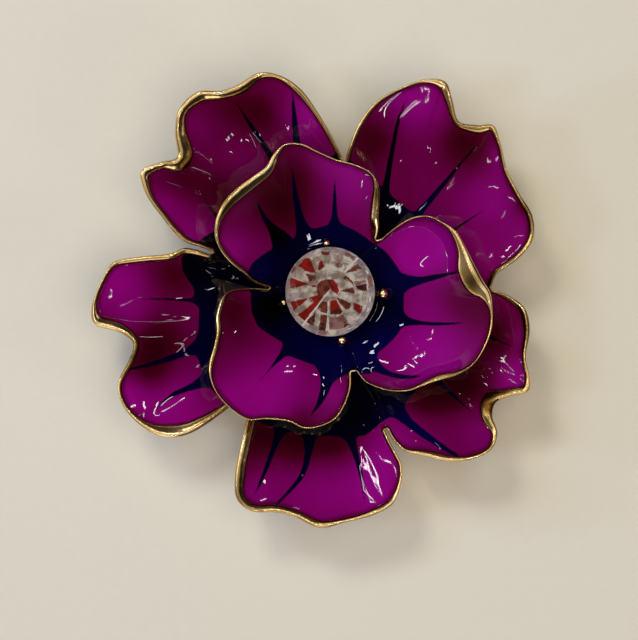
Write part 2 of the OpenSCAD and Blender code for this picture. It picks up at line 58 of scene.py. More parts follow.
outerLayer = {
    "hubRadius": 8.0, "hubHeight": 6.1, "cup": 1.7, "footRadius": 4.0, "footHeight": 6.1,
    "holeRadius": 4.06, "stepsPerRow": 9, "valleyDepth": 0.42, "valleySpread": 1.2,
    "bowls": [],  # x, y, radius, depth of softer hollows
    "blueAndShade": 0.05,  # how much navy the dark heart shows: 1 navy, 0 black, the black partly dark enamel and partly painted shade; then softer spots on it
    "blueAndShadeSpots": [
        [10.5, 10, 3, 0.5], [-4, 18, 4, 0.3], [-15, -3, 3, 0.3], [-15.5, -9.5, 4, 0.5],
        [-6, -21, 4, 0.4], [3.5, -21, 4, 0.4], [11, -16, 4, 0.9], [8, -14.5, 2, 0.3],
    ],
    "shine": 0.5,  # painted reflection and shade on the gilding: 1 the bright metal, 0 painted brown shade; then softer spots on it
    "sheenAndShadeSpots": [
        [12, 23.8, 2, 0.3], [15.5, 18.7, 2, -0.3], [22, 9, 2, -0.4], [3, 19, 2, 0.3],
        [-13, 22.2, 3, 0.4], [-17, 19, 2, 0.3], [-20.5, 13, 2, 0.4], [-25, -3, 2, 0.5],
        [-22, -7, 2, -0.4], [-18, -15.3, 3, 0.5], [-13, -14.5, 2, -0.4], [-10, -16.5, 1.5, 0.5],
        [-9.8, -22, 2, -0.3], [7.5, -22, 3, 0.4], [13, -18.7, 4, 0.2], [18, -13, 1.2, -0.6],
        [22.5, -10, 1.5, 0.4], [22.3, -4, 3, -0.4],
    ],
    # each petal's rim: turn, reach, height of the crest, width of the bare lip
    "petals": {
        "upperRight": [
            [1.8, 18.3, 7.9, 0.54], [6.3, 19.1, 8.5, 0.48], [10.1, 21.6, 9.1, 0.48],
            [14.6, 23.6, 9.5, 0.54], [20.5, 24.3, 9.8, 0.6], [27.4, 24.0, 9.7, 0.48],
            [34.6, 24.2, 9.6, 0.38], [41.4, 25.5, 9.8, 0.38], [45.6, 26.2, 9.8, 0.65],
            [48.7, 25.0, 9.4, 0.93], [53.1, 24.1, 9.2, 0.54], [57.7, 25.7, 9.7, 0.76],
            [61.2, 26.9, 10.3, 0.98], [65.7, 26.2, 10.4, 0.48], [70.8, 24.3, 10.2, 0.32],
            [76.3, 22.1, 9.6, 0.43], [80.3, 19.3, 8.8, 0.48], [82.7, 16.4, 8, 0.48],
            [83.5, 14.9, 7.6, 0.48],
        ],
        "upperLeft": [
            [84.9, 15.4, 7.5, 0.43], [88.3, 17.1, 8, 0.43], [93.5, 20.1, 8.7, 0.48],
            [98, 23.0, 9.2, 0.65], [103, 25.0, 9.6, 0.48], [108, 25.9, 9.8, 0.76],
            [113.7, 25.5, 9.9, 1.09], [118.5, 25.7, 10.2, 0.93], [123.5, 26.9, 10.6, 1.2],
            [129.5, 26.6, 10.6, 0.98], [134, 25.1, 10, 1.2], [138.4, 23.0, 9.4, 1.64],
            [142.5, 24.0, 9.6, 0.76], [147.4, 25.2, 9.8, 1.09], [152, 23.5, 9.4, 0.65],
            [156, 20.8, 8.8, 0.54], [160.8, 17.6, 8.1, 0.54], [160.9, 15.5, 7.7, 0.43],
            [161.1, 14, 7.4, 0.43],
        ],
        "left": [
            [162.6, 14.2, 8.2, 0.48], [162.4, 15.6, 8.6, 0.6], [163.2, 17.2, 8.9, 0.65],
            [166.7, 18.7, 9.2, 0.65], [169.7, 22.0, 9.5, 0.6], [172.2, 24.6, 9.7, 0.54],
            [177.3, 25.8, 9.6, 0.38], [183.5, 26.9, 9.2, 0.54], [187.8, 26.8, 8.8, 1.2],
            [190.6, 24.4, 8.5, 1], [194.4, 23.0, 8.4, 0.65], [198.5, 23.9, 8.7, 0.6],
            [203.3, 26.0, 9.2, 0.43], [208.7, 26.6, 9.5, 0.43], [215.1, 26.1, 9.6, 0.65],
            [221, 24.9, 9.4, 1.31], [225.3, 22.6, 8.9, 1.31], [228, 18.8, 8.2, 0.76],
            [230.5, 15, 7.5, 0.54],
        ],
        "bottom": [
            [234.5, 14.6, 7.5, 0.54], [236.8, 17.2, 8.2, 0.98], [239.7, 20.0, 9, 1.04],
            [242.6, 23.2, 9.6, 1.04], [245.7, 25.5, 9.8, 0.87], [250.3, 26.2, 9.6, 0.76],
            [255.9, 25.6, 9.2, 0.76], [261, 25.65, 9.1, 0.65], [267.6, 26.6, 9.4, 0.76],
            [274, 26.0, 9.3, 0.43], [281.3, 25.6, 9.3, 0.6], [286.8, 24.8, 9.5, 0.54],
            [290.7, 22.8, 9.2, 0.35], [292.5, 21.1, 8.6, 0.3], [292.3, 19.7, 8.1, 0.3],
            [291.8, 18.2, 7.8, 0.3], [291.5, 16.8, 7.5, 0.3],
        ],
        "lowerRight": [
            [292.8, 16.8, 8.2, 0.25], [293.2, 18.2, 8.7, 0.3], [295.2, 19.8, 9.1, 0.35],
            [300.3, 21.5, 9.2, 0.65], [304.9, 23.3, 9.3, 0.65], [310.1, 24.7, 9.3, 0.43],
            [315.5, 25.4, 9.3, 0.43], [319.9, 24.7, 9, 0.65], [322.5, 23.1, 8.7, 1.15],
            [326, 22.5, 8.6, 1.45], [329.4, 23.3, 8.9, 0.87], [333.2, 24.9, 9.4, 0.76],
            [336.6, 24.5, 9.5, 0.48], [341.9, 23.2, 9.4, 0.43], [349.3, 22.9, 9.2, 0.65],
            [355.4, 22.0, 8.8, 0.65], [359.4, 19.8, 8.2, 0.43], [360.7, 18.4, 7.9, 0.32],
        ],
    },
    # dark veins from the heart outwards: turn, reach, width
    "veins": [
        [[58.5, 11, 1.7], [61.5, 13.2, 0.85], [65, 16, 0.6], [68.1, 20.3, 0.4], [68.4, 23.4, 0.12]],
        [[40.5, 12, 1.3], [42.2, 14.5, 0.75], [44.3, 20, 0.35], [45, 23.4, 0.12]],
        [[26.2, 14, 0.5], [28.4, 20.6, 0]],
        [[102.6, 14.5, 1.5], [102.5, 17.2, 0.85], [101.6, 20, 0.6], [100.6, 22.9, 0.1]],
        [[112.5, 14.5, 1.4], [113.7, 17.1, 0.7], [115.2, 20.2, 0.5], [116.4, 23.6, 0.15]],
        [[148, 13.5, 0.7], [145, 16.5, 0.25], [141.7, 18.8, 0]],
        [[184, 14.2, 1.4], [183.3, 16, 0.4], [182.4, 19, 0.24], [181.9, 22.2, 0.05]],
        [[203, 15, 2.6], [202.7, 17.4, 1.0], [202.3, 20.6, 0.6], [201, 24.4, 0.2]],
        [[216, 16.4, 1.9], [214.4, 19, 0.8], [213.2, 21.4, 0.45], [214.1, 24.2, 0.05]],
        [[250.4, 15.5, 2], [250.2, 18.2, 0.75], [250, 22.4, 0.4], [249.4, 24.6, 0.1]],
        [[261.5, 15.5, 2], [262.3, 18.2, 0.9], [261.4, 20.8, 0.6], [258.5, 22.9, 0.42], [255.5, 24.9, 0.3]],
        [[277.2, 15.5, 1.6], [278.8, 18.2, 0.75], [279.6, 21, 0.42], [279.3, 24.2, 0.1]],
        [[299, 14.5, 2.2], [301, 17, 1.1], [304, 19.7, 0.8], [307.8, 23.3, 0.35]],
        [[344.8, 16, 0.9], [344.2, 19, 0.4], [343.2, 21.8, 0]],
        [[320.4, 15.5, 0.8], [319.7, 20.6, 0]],
    ],
    # edge of the dark heart: turn, reach
    "heart": [
        [0, 14], [30, 13], [45, 12.9], [60, 12.9], [75, 14], [86, 16], [93, 14.8], [108, 15], [130, 14],
        [147, 14], [158, 15.8], [167, 17.2], [172, 16.8], [178, 15.5], [187, 14.9], [195, 15.4],
        [205, 16.6], [217, 17.3], [230, 17.3], [245, 16.6], [256, 16.3], [270, 16.3], [284, 16.7],
        [292, 15.8], [300, 15.3], [312, 14.8], [345, 14], [360, 14],
    ],
    # where the enamel lies lighter or deeper, partly its depth and partly painted shade and light: x, y,
    # radius, amount
    "tones": [
        [18, 7, 5, 0.45], [18, 12, 3, 0.4], [22, 6, 2, 0.4], [18, 3, 2, 0.3], [19, 15.5, 1.5, 0.6],
        [10.5, 21.5, 3, 0.8], [8, 22, 2, 0.4], [16, 16, 3, -0.7], [14.5, 17.5, 2, -0.4],
        [4.5, 17, 2.5, -0.8], [21.5, 9.5, 1, -0.5], [-13, 11, 3, -0.7], [-17, 13, 2.5, -0.5],
        [-12, 21, 3, -0.4], [-8, 20, 2.5, -0.7], [-14.5, 19, 2, 0.2], [-15.5, 6.5, 4, 0.65],
        [-19, 10, 2, 0.4], [-10, 15, 3, 0.1], [-4.8, 22, 2, 0.1], [-2.5, 20, 2.5, 0.7],
        [-17.5, 2.5, 3, -0.8], [-24, 1, 3.5, 0.85], [-20, -1, 2.5, 0.1], [-22, -3, 2, 0.4],
        [-19.5, -5.5, 3, -0.9], [-20.5, -9, 2.5, -0.8], [-23, -11.5, 2.5, 0.9], [-18, -13.5, 4, 0.85],
        [-16, -9, 2, 0.1], [-8.5, -16, 3, -0.9], [-3.5, -17, 3, -1], [1, -17, 2.5, -0.7],
        [-4, -22, 4, 0.4], [1, -23, 4, 0.4], [6, -22, 4, 0.8], [6, -18.5, 2, 0.4],
        [-8.5, -22.5, 2, 0.5], [15, -10, 3.5, -1], [11, -11.5, 3, -0.8], [18.5, -5, 2.5, -0.6],
        [20.5, -9.5, 2.5, 1], [21.5, -5, 1.5, 0.5], [17, -14.5, 2.5, 0.2], [8, -15.5, 3, 0.5],
        [13, -15, 3, 0.1], [17.5, -17, 2.5, 0.2],
    ],
}

innerLayer = {
    "hubRadius": 5.7, "hubHeight": 8.0, "cup": 1.5, "footRadius": 4.0, "footHeight": 6.16,
    "holeRadius": 3.66, "stepsPerRow": 12, "valleyDepth": 0.35, "valleySpread": 1.0,
    "bowls": [[10.8, -7.6, 4, 1.0], [13.0, 6.4, 4, 1.3]],
    # how much navy the heart shows against a near-black that is partly dark enamel and partly painted shade
    "blueAndShade": 0.27,
    "blueAndShadeSpots": [
        [-8, 2.5, 2, 0.5], [2, 7.5, 4, 0.3], [8, 1.5, 2.5, 0.5], [-6, 6.5, 2, -0.3],
        [-6.5, -1.5, 3, -0.3], [4.5, -1.5, 2.5, -0.35], [6.5, -6.5, 3, 0.8], [0.5, -8, 3, 0.5],
        [-3.5, -5.5, 2, 0.2],
    ],
    # painted reflection and shade on the gilding, as in the outer layer
    "shine": 0.63,
    "sheenAndShadeSpots": [
        [-8, 13.2, 2.5, 0.3], [-11.5, 9.5, 1, -0.3], [-12.2, -2, 2, 0.5], [-12.3, -5, 1.5, -0.4],
        [5.2, 8.5, 1, 0.4], [5.3, 11, 1.2, -0.4], [14.7, 3.2, 1, 0.5], [15.7, 1, 1, -0.5],
        [17.3, 0, 1, 0.5], [14, -9.3, 3, -0.4],
    ],
    "petals": {
        "left": [
            [48.5, 7.9, 8.9, 0.5], [52.1, 9, 9.6, 0.8], [57.3, 10.1, 10.4, 0.9],
            [61.5, 11.7, 11.3, 0.85], [65.5, 13.1, 12, 0.55], [71, 14, 12.5, 0.2],
            [79.4, 14.4, 12.6, 0.15], [87.5, 14.7, 12.6, 0.15], [95, 15.6, 12.8, 0.15],
            [101, 16.7, 13.1, 0.2], [107, 17.1, 13.3, 0.25], [112, 16.6, 13.3, 0.6],
            [117.5, 15.6, 13.3, 1], [124.7, 15.4, 13.5, 1.15], [133, 15.45, 13.6, 1.2],
            [141, 15.4, 13.6, 1], [148.8, 14.9, 13.4, 0.6], [156, 13.9, 13, 0.4],
            [162.3, 12.2, 12.2, 0.4], [168, 9.9, 10.9, 0.35], [172.3, 8.7, 9.9, 0.3],
            [174.6, 7.6, 9.2, 0.3], [175.6, 6.8, 8.75, 0.25],
        ],
        "low": [
            [177.4, 7, 8.75, 0.2], [177.2, 8.8, 9.4, 0.2], [179.4, 11.2, 10.6, 0.15],
            [184, 12.2, 11.5, 0.45], [191.9, 13, 12.1, 0.5], [199, 13.4, 12.3, 0.55],
            [205, 14.3, 12.6, 0.5], [210.9, 15.7, 12.9, 0.45], [216, 16.5, 13, 0.3],
            [222, 16.95, 13, 0.2], [230, 17.1, 12.9, 0.2], [237.4, 16.9, 12.8, 0.2],
            [244, 15.8, 12.5, 0.25], [252, 15.2, 12.3, 0.25], [259.3, 15.5, 12.3, 0.25],
            [266.6, 15, 12.1, 0.2], [273, 14.1, 11.7, 0.25], [278.2, 12.6, 11, 0.3],
            [282.5, 11, 10.1, 0.35], [284.9, 9.4, 9.2, 0.4],
        ],
        "right": [
            [288.6, 9.4, 9.2, 0.15], [291.3, 10.8, 9.9, 0.15], [296, 11.9, 10.7, 0.15],
            [302, 13.1, 11.4, 0.15], [308.3, 14.1, 11.9, 0.2], [315.8, 14.9, 12.2, 0.4],
            [321.4, 15.8, 12.5, 0.6], [327, 17, 12.8, 0.4], [333, 17.85, 13, 0.2],
            [340, 18.25, 13.1, 0.2], [347.2, 18.4, 13.2, 0.3], [354, 18.1, 13.3, 0.4],
            [359.5, 17.75, 13.4, 1.3], [364.6, 16.9, 13.5, 2], [371, 16.25, 13.5, 1.9],
            [378, 15.85, 13.4, 1], [386, 15.5, 13.2, 0.6], [392.3, 14.6, 12.9, 0.2],
            [398, 13.7, 12.5, 0.15], [402.5, 12.2, 11.7, 0.25], [404.8, 10.4, 10.6, 0.25],
            [406.3, 8.3, 9.2, 0.25],
        ],
    },
    "veins": [
        [[85.8, 7, 1.3], [86.7, 8.9, 0.62], [87.2, 10.6, 0.4], [87.7, 12.6, 0.05]],
        [[114, 7, 1.9], [112.3, 9, 1.0], [109.6, 11.6, 0.62], [107, 14.4, 0.08]],
        [[133.5, 8, 2.2], [132.5, 9.2, 1.3], [131.8, 10.7, 0.65], [130.2, 12.2, 0.3], [128.4, 13.2, 0]],
        [[7.2, 8, 2.1], [7.2, 10, 0.95], [8, 12, 0.6], [8.8, 14.3, 0.2]],
        [[338.6, 8.8, 1.3], [340.8, 10.6, 0.5], [343.4, 12.6, 0.4], [346.8, 15.2, 0.12]],
        [[300.5, 9.4, 1.5], [305, 11.1, 0.66], [311.3, 12.7, 0.5], [317, 13.8, 0.1]],
        [[269.4, 8, 2.6], [267.8, 10.2, 1.35], [265, 12.2, 0.7], [261.2, 13.9, 0.1]],
        [[233, 8.4, 0.9], [232, 11, 0.15], [231.5, 14, 0]],
    ],
    "heart": [
        [0, 8.2], [19, 8.1], [37, 7.7], [52, 7.3], [70, 7.5], [82, 7.7], [97, 7.4], [120, 7.1],
        [127, 7.2], [133, 7.8], [144, 8.1], [160, 9.3], [170, 9.6], [182, 8.9], [195, 9.1], [205, 9],
        [216, 8.3], [226, 7.8], [237, 8.5], [247, 8.4], [258, 8.4], [273, 9.8], [283, 9.4], [296, 10.2],
        [303, 9], [310, 8.7], [329, 9], [351, 8.4], [360, 8.2],
    ],
    # tone spots: partly the enamel's depth and partly painted shade and light
    "tones": [
        [-5.5, 9.5, 3, -0.9], [-3.5, 13, 2.5, -0.5], [-8.5, 12, 1.5, -0.3], [2.5, 13.5, 3, 0.9],
        [-1, 14.5, 2, 0.4], [2.5, 10.5, 2, 0.2], [-9.5, 5, 3, 0.2], [-11.5, 4.5, 2, 0.8],
        [-11, -2, 2.5, -0.6], [-9.5, -5, 2, -0.2], [-8, -11.5, 4, 1], [-3, -11, 3, 0.3],
        [-12, -12, 2, 0.6], [0.5, -11.5, 1.5, 0.5], [-5, -8.5, 1.5, 0.4], [-3, -14.5, 1.5, -0.5],
        [10, 6, 4, 1], [12, 4, 2.5, 0.4], [9, 3.5, 2, 0.5], [11, -7, 5, 1], [10, -1, 2.5, 0.2],
        [13.5, -8, 2, 0.1], [16.5, -2, 2.5, -0.4], [14, -1, 2, -0.2],
    ],
}

# a rim's line across the lip, from its outer edge in: share of the lip, depth under the crest
rimLine = [
    [0, 0.42], [0, 0.3], [0.03, 0.2], [0.08, 0.12], [0.16, 0.05], [0.27, 0.01], [0.4, 0],
    [0.53, 0.01], [0.66, 0.04], [0.78, 0.08], [0.88, 0.13], [0.95, 0.18], [1, 0.24],
]
lipShape = {
    "least": 0.1,  # no lip is narrower
    "round": 0.3, "flattest": 0.5,  # the rim is flatter where a lip is narrower than round
    "wide": 0.55, "sink": 0.55, "level": 0.25,  # a wide lip slopes down inwards, past its level share
}
veinLines = {"steps": 6, "farOff": 99.0, "blend": 0.28}  # blend runs the veins into the heart


# places on a circle round the flower's axis, the turn in degrees
def spot(turn, reach):
    turn = np.radians(turn)
    return np.stack([reach * np.cos(turn), reach * np.sin(turn)], axis=-1)


# a table's rows with smooth steps between them
def smoothRows(rows, steps):
    rows = np.array(rows, float)
    last = len(rows) - 1
    at = np.arange(last * steps + 1) / steps
    k = np.minimum(at.astype(int), last - 1)
    t = (at - k)[:, None]
    a, b = rows[np.maximum(k - 1, 0)], rows[k]
    c, d = rows[k + 1], rows[np.minimum(k + 2, last)]
    bend = (2 * a - 5 * b + 4 * c - d) * t ** 2 + (3 * b - a - 3 * c + d) * t ** 3
    return 0.5 * (2 * b + (c - a) * t + bend)


# the columns of points that run from the hub out to the rim, all round a layer
def petalColumns(layer):
    place, root, crest, lip, owner = [], [], [], [], []
    for petal, rows in layer["petals"].items():
        fine = smoothRows(rows, layer["stepsPerRow"])
        share = np.linspace(0, 1, len(fine))
        firstRoot = rows[0][0] + flower["rootIn"]
        lastRoot = rows[-1][0] - flower["rootIn"]
        place.append(spot(fine[:, 0], fine[:, 1]))
        root.append(firstRoot + (lastRoot - firstRoot) * share)
        crest.append(fine[:, 2])
        lip.append(np.maximum(fine[:, 3], lipShape["least"]))
        owner += [petal] * len(fine)
    place, root = np.concatenate(place), np.concatenate(root)
    along = np.roll(place, -1, 0) - np.roll(place, 1, 0)
    inward = np.stack([-along[:, 1], along[:, 0]], -1) / np.linalg.norm(along, axis=1)[:, None]
    lip = np.concatenate(lip)
    sink = lipShape["sink"] * np.maximum(lip - lipShape["wide"], 0)
    return {
        "place": place, "root": root, "crest": np.concatenate(crest), "lip": lip, "sink": sink,
        "inward": inward, "owner": np.array(owner),
    }


# how far points lie from a vein's middle line and from its edge
def wayToVein(vein, points):
    fine = smoothRows(vein, veinLines["steps"])
    line, width = spot(fine[:, 0], fine[:, 1]), fine[:, 2]
    way = np.full(len(points), veinLines["farOff"])
    gap = np.full(len(points), veinLines["farOff"])
    for a, b, wa, wb in zip(line[:-1], line[1:], width[:-1], width[1:]):
        ab = b - a
        t = np.clip((points - a) @ ab / (ab @ ab), 0, 1)
        off = np.linalg.norm(points - a - t[:, None] * ab, axis=1)
        way = np.minimum(way, off)
        gap = np.minimum(gap, off - (wa + (wb - wa) * t) / 2)
    return way, gap


def veinFields(layer, points):
    ways, gaps = zip(*[wayToVein(vein, points) for vein in layer["veins"]])
    return np.min(ways, axis=0), np.stack(gaps)


# how far points lie outside the dark heart and the veins, below 0 inside them
def navyGap(layer, points):
    blend = veinLines["blend"]
    turn = np.degrees(np.arctan2(points[:, 1], points[:, 0])) % 360
    edge = np.array(layer["heart"], float)
    heart = np.linalg.norm(points, axis=1) - np.interp(turn, edge[:, 0], edge[:, 1])
    gaps = np.concatenate([veinFields(layer, points)[1], heart[None]])
    low = gaps.min(axis=0)
    return low - blend * np.log(np.exp(-(gaps - low) / blend).sum(axis=0))


# soft round spots added up: x, y, radius, amount
def spotsAt(rows, points):
    total = np.zeros(len(points))
    for x, y, radius, amount in rows:
        total += amount * np.exp(-((points[:, 0] - x) ** 2 + (points[:, 1] - y) ** 2) / radius ** 2)
    return total


# one ring of a layer's surface, at share f of the way from the hub to the rim
def sheet(layer, columns, f, setIn, lift, valleyShare=1.0):
    end = columns["place"] + columns["inward"] * np.reshape(setIn, (-1, 1))
    start = spot(columns["root"], layer["hubRadius"])
    far = np.linalg.norm(end, axis=1)
    lead = spot(columns["root"], layer["hubRadius"] + flower["leadOut"] * (far - layer["hubRadius"]))
    p = start * (1 - f) ** 2 + lead * 2 * f * (1 - f) + end * f ** 2
    besideVein = veinFields(layer, p)[0] / layer["valleySpread"]
    valley = valleyShare * layer["valleyDepth"] * np.exp(-besideVein ** 2)
    rise = columns["crest"] - columns["sink"] - flower["trayDepth"] - layer["hubHeight"]
    hump = math.sin(math.pi * f ** flower["humpOut"])
    z = layer["hubHeight"] + rise * f ** layer["cup"] - valley * hump + lift
    z -= spotsAt(layer["bowls"], p) * min(hump * flower["bowlFade"], 1)
    return np.column_stack([p, z])


# the rings over the bare lip, from the enamel out
def lipRings(columns):
    rings = []
    lip = columns["lip"]
    level = lipShape["level"]
    for share, down in rimLine[::-1]:
        p = columns["place"] + columns["inward"] * (lip * share)[:, None]
        slope = columns["sink"] * max(share - level, 0) / (1 - level)
        bead = down * np.clip(lip / lipShape["round"], lipShape["flattest"], 1)
        rings.append(np.column_stack([p, columns["crest"] - bead - slope]))
    return rings


def flatRing(columns, radius, z):
    return np.column_stack([spot(columns["root"], radius), np.full(len(columns["root"]), z)])


# a piece from points in millimetres round the axis
def placed(name, points, faces, smooth=False):
    points = np.array(points, float)
    points[:, :2] += flower["axis"]
    mesh = bpy.data.meshes.new(name)
    mesh.from_pydata((points * mm).tolist(), [], faces)
    if smooth:
        mesh.shade_smooth()
    piece = bpy.data.objects.new(name, mesh)
    bpy.context.scene.collection.objects.link(piece)
    return piece


# one petal's share of a closed row of rings: columns side by side, with a flat cap at both ends
def slab(name, block):
    rows, n = block.shape[:2]
    points = block.reshape(-1, 3).copy()
    i = np.arange(n - 1)
    faces = []
    for j in range(rows):
        k = (j + 1) % rows
        faces.append(np.column_stack([j * n + i, k * n + i, k * n + i + 1, j * n + i + 1]))
    faces = np.concatenate(faces).tolist()
    faces.append([j * n for j in range(rows)][::-1])
    faces.append([j * n + n - 1 for j in range(rows)])
    piece = placed(name, points, faces, True)
    for cap in piece.data.polygons[-2:]:
        cap.use_smooth = False
    return piece, points[:, :2]


# a closed skin over rings, with a fan of faces to the point at each end
def skin(name, rings, ends):
    count, n = len(rings), len(rings[0])
    points = np.concatenate(rings + [np.array(ends, float)])
    i = np.arange(n)
    after = (i + 1) % n
    faces = []
    for j in range(count - 1):
        k = j + 1
        faces.append(np.column_stack([j * n + i, k * n + i, k * n + after, j * n + after]))
    faces = np.concatenate(faces).tolist()
    hub, foot, last = count * n, count * n + 1, (count - 1) * n
    faces += [[hub, int(a), int(b)] for a, b in zip(i, after)]
    faces += [[foot, int(last + b), int(last + a)] for a, b in zip(i, after)]
    return placed(name, points, faces, True)


def addField(piece, name, values):
    field = piece.data.attributes.new(name, "FLOAT", "POINT")
    field.data.foreach_set("value", np.asarray(values, np.float32))


# rings over a casting's trays and under them, and how far the edge underneath is set in
casting = {"trayRows": 14, "underRows": 22, "edgeIn": 0.3}


def petalMetal(name, layer):
    columns = petalColumns(layer)
    tray = [sheet(layer, columns, f, columns["lip"], 0) for f in np.linspace(0, 1, casting["trayRows"])]
    lip = lipRings(columns)
    under = []
    for f in np.linspace(1, 0, casting["underRows"]):
        edgeIn = casting["edgeIn"] if f == 1 else 0
        under.append(sheet(layer, columns, f, edgeIn, -flower["plate"]))
    rings = tray + lip + under
    footTop = layer["hubHeight"] - flower["plate"]
    if layer["footHeight"] < footTop:
        rings += [flatRing(columns, layer["footRadius"], footTop),
                  flatRing(columns, layer["footRadius"], layer["footHeight"])]
    ends = [[0, 0, layer["hubHeight"]], [0, 0, min(layer["footHeight"], footTop)]]
    piece = skin(name, rings, ends)
    spots = np.concatenate(rings + [np.array(ends, float)])[:, :2]
    # the shine field paints reflection and shade into the gilding
    addField(piece, "shine", layer["shine"] + spotsAt(layer["sheenAndShadeSpots"], spots))
    return piece


pour = {
    "rows": 50, "edgeFrom": 0.9, "edgeRows": 10, "underRows": 10,  # the rings lie closer near the rim
    "valleyShare": 0.35,  # how much of a valley still shows in the enamel's top
    "meniscus": 0.05, "meniscusTurn": 30,  # the edge is this much lower, and how suddenly
}


# the enamel of a layer, one piece for each petal with a hair's gap in the notches
def petalEnamel(name, layer):
    columns = petalColumns(layer)
    setIn = columns["lip"] + flower["sideGap"]
    rows = np.concatenate([np.linspace(0, pour["edgeFrom"], pour["rows"], endpoint=False),
                           np.linspace(pour["edgeFrom"], 1, pour["edgeRows"])])
    lift = flower["glazeLift"]
    full = lift + flower["glazeDepth"]
    top = []
    for f in rows:
        height = full - pour["meniscus"] * f ** pour["meniscusTurn"]
        top.append(sheet(layer, columns, f, setIn, height, pour["valleyShare"]))
    under = [sheet(layer, columns, f, setIn, lift) for f in np.linspace(1, 0, pour["underRows"])]
    hole = [flatRing(columns, layer["holeRadius"], layer["hubHeight"] + height) for height in (lift, full)]
    rings = np.stack(top + under + hole)
    pieces = []
    for petal in layer["petals"]:
        own = np.flatnonzero(columns["owner"] == petal)
        after = (own[-1] + 1) % len(columns["owner"])
        seam = rings[:, own[-1]] * flower["seamShare"] + rings[:, after] * (1 - flower["seamShare"])
        block = np.concatenate([rings[:, own], seam[:, None]], axis=1)
        piece, spots = slab(name + petal[0].upper() + petal[1:], block)
        rim = block[len(top) - 1, :, :2]
        addField(piece, "navyGap", navyGap(layer, spots))
        # the tone and heart fields paint shade and light into the enamel, beside its depth and its navy
        addField(piece, "tone", spotsAt(layer["tones"], spots))
        addField(piece, "blueAndShade", layer["blueAndShade"] + spotsAt(layer["blueAndShadeSpots"], spots))
        addField(piece, "rimGap", np.linalg.norm(block[:, :, :2] - rim, axis=2).ravel())
        pieces.append(piece)
    return pieces


# a node group with named sockets: f a number, c a colour
def newGroup(name, inputs, outputs):
    tree = bpy.data.node_groups.new(name, "ShaderNodeTree")
    kinds = {"f": "NodeSocketFloat", "c": "NodeSocketColor"}
    for title, kind, value in inputs:
        socket = tree.interface.new_socket(name=title, in_out="INPUT", socket_type=kinds[kind])
        socket.default_value = value
    for title, kind in outputs:
        tree.interface.new_socket(name=title, in_out="OUTPUT", socket_type=kinds[kind])
    return tree, tree.nodes.new("NodeGroupInput"), tree.nodes.new("NodeGroupOutput")


def wire(tree, source, target):
    tree.links.new(source, target)


def mixColour(tree, factor, a, b):
    made = tree.nodes.new("ShaderNodeMix")
    made.data_type = "RGBA"  # its colour sockets are 6 and 7, the mixed colour comes out of 2
    for socket, value in ((made.inputs[0], factor), (made.inputs[6], a), (made.inputs[7], b)):
        if isinstance(value, bpy.types.NodeSocket):
            wire(tree, value, socket)
        else:
            socket.default_value = value
    return made.outputs[2]


def sums(tree, operation, a, b, clamp=False, c=0.0):
    made = tree.nodes.new("ShaderNodeMath")
    made.operation = operation
    made.use_clamp = clamp
    for socket, value in zip(made.inputs, (a, b, c)):
        if isinstance(value, bpy.types.NodeSocket):
            wire(tree, value, socket)
        else:
            socket.default_value = value
    return made.outputs[0]


# noise fixed to the piece, its scale in turns for each metre
def objectNoise(tree, scale, detail=2.0, roughness=0.5):
    place = tree.nodes.new("ShaderNodeTexCoord")
    noise = tree.nodes.new("ShaderNodeTexNoise")
    wire(tree, place.outputs["Object"], noise.inputs["Vector"])
    if isinstance(scale, bpy.types.NodeSocket):
        wire(tree, scale, noise.inputs["Scale"])
    else:
        noise.inputs["Scale"].default_value = scale
    noise.inputs["Detail"].default_value = detail
    noise.inputs["Roughness"].default_value = roughness
    return noise.outputs["Fac"]


# a soft step from outLow to outHigh while the value goes from low to high
def softStep(tree, value, low, high, outLow=0.0, outHigh=1.0):
    made = tree.nodes.new("ShaderNodeMapRange")
    made.interpolation_type = "SMOOTHSTEP"
    wire(tree, value, made.inputs["Value"])
    for key, number in (("From Min", low), ("From Max", high), ("To Min", outLow), ("To Max", outHigh)):
        if isinstance(number, bpy.types.NodeSocket):
            wire(tree, number, made.inputs[key])
        else:
            made.inputs[key].default_value = number
    return made.outputs["Result"]


# scales of the enamel's unevenness, and how strong it is
enamelGrain = {
    "cloud": 260, "rim": 500, "ragged": 1500, "gloss": 700, "waves": 420,
    "rimUneven": 0.5, "rimFrom": 0.3, "rimTo": 0.85, "raggedness": 0.12,
    "roughness": (0.008, 0.018),
}


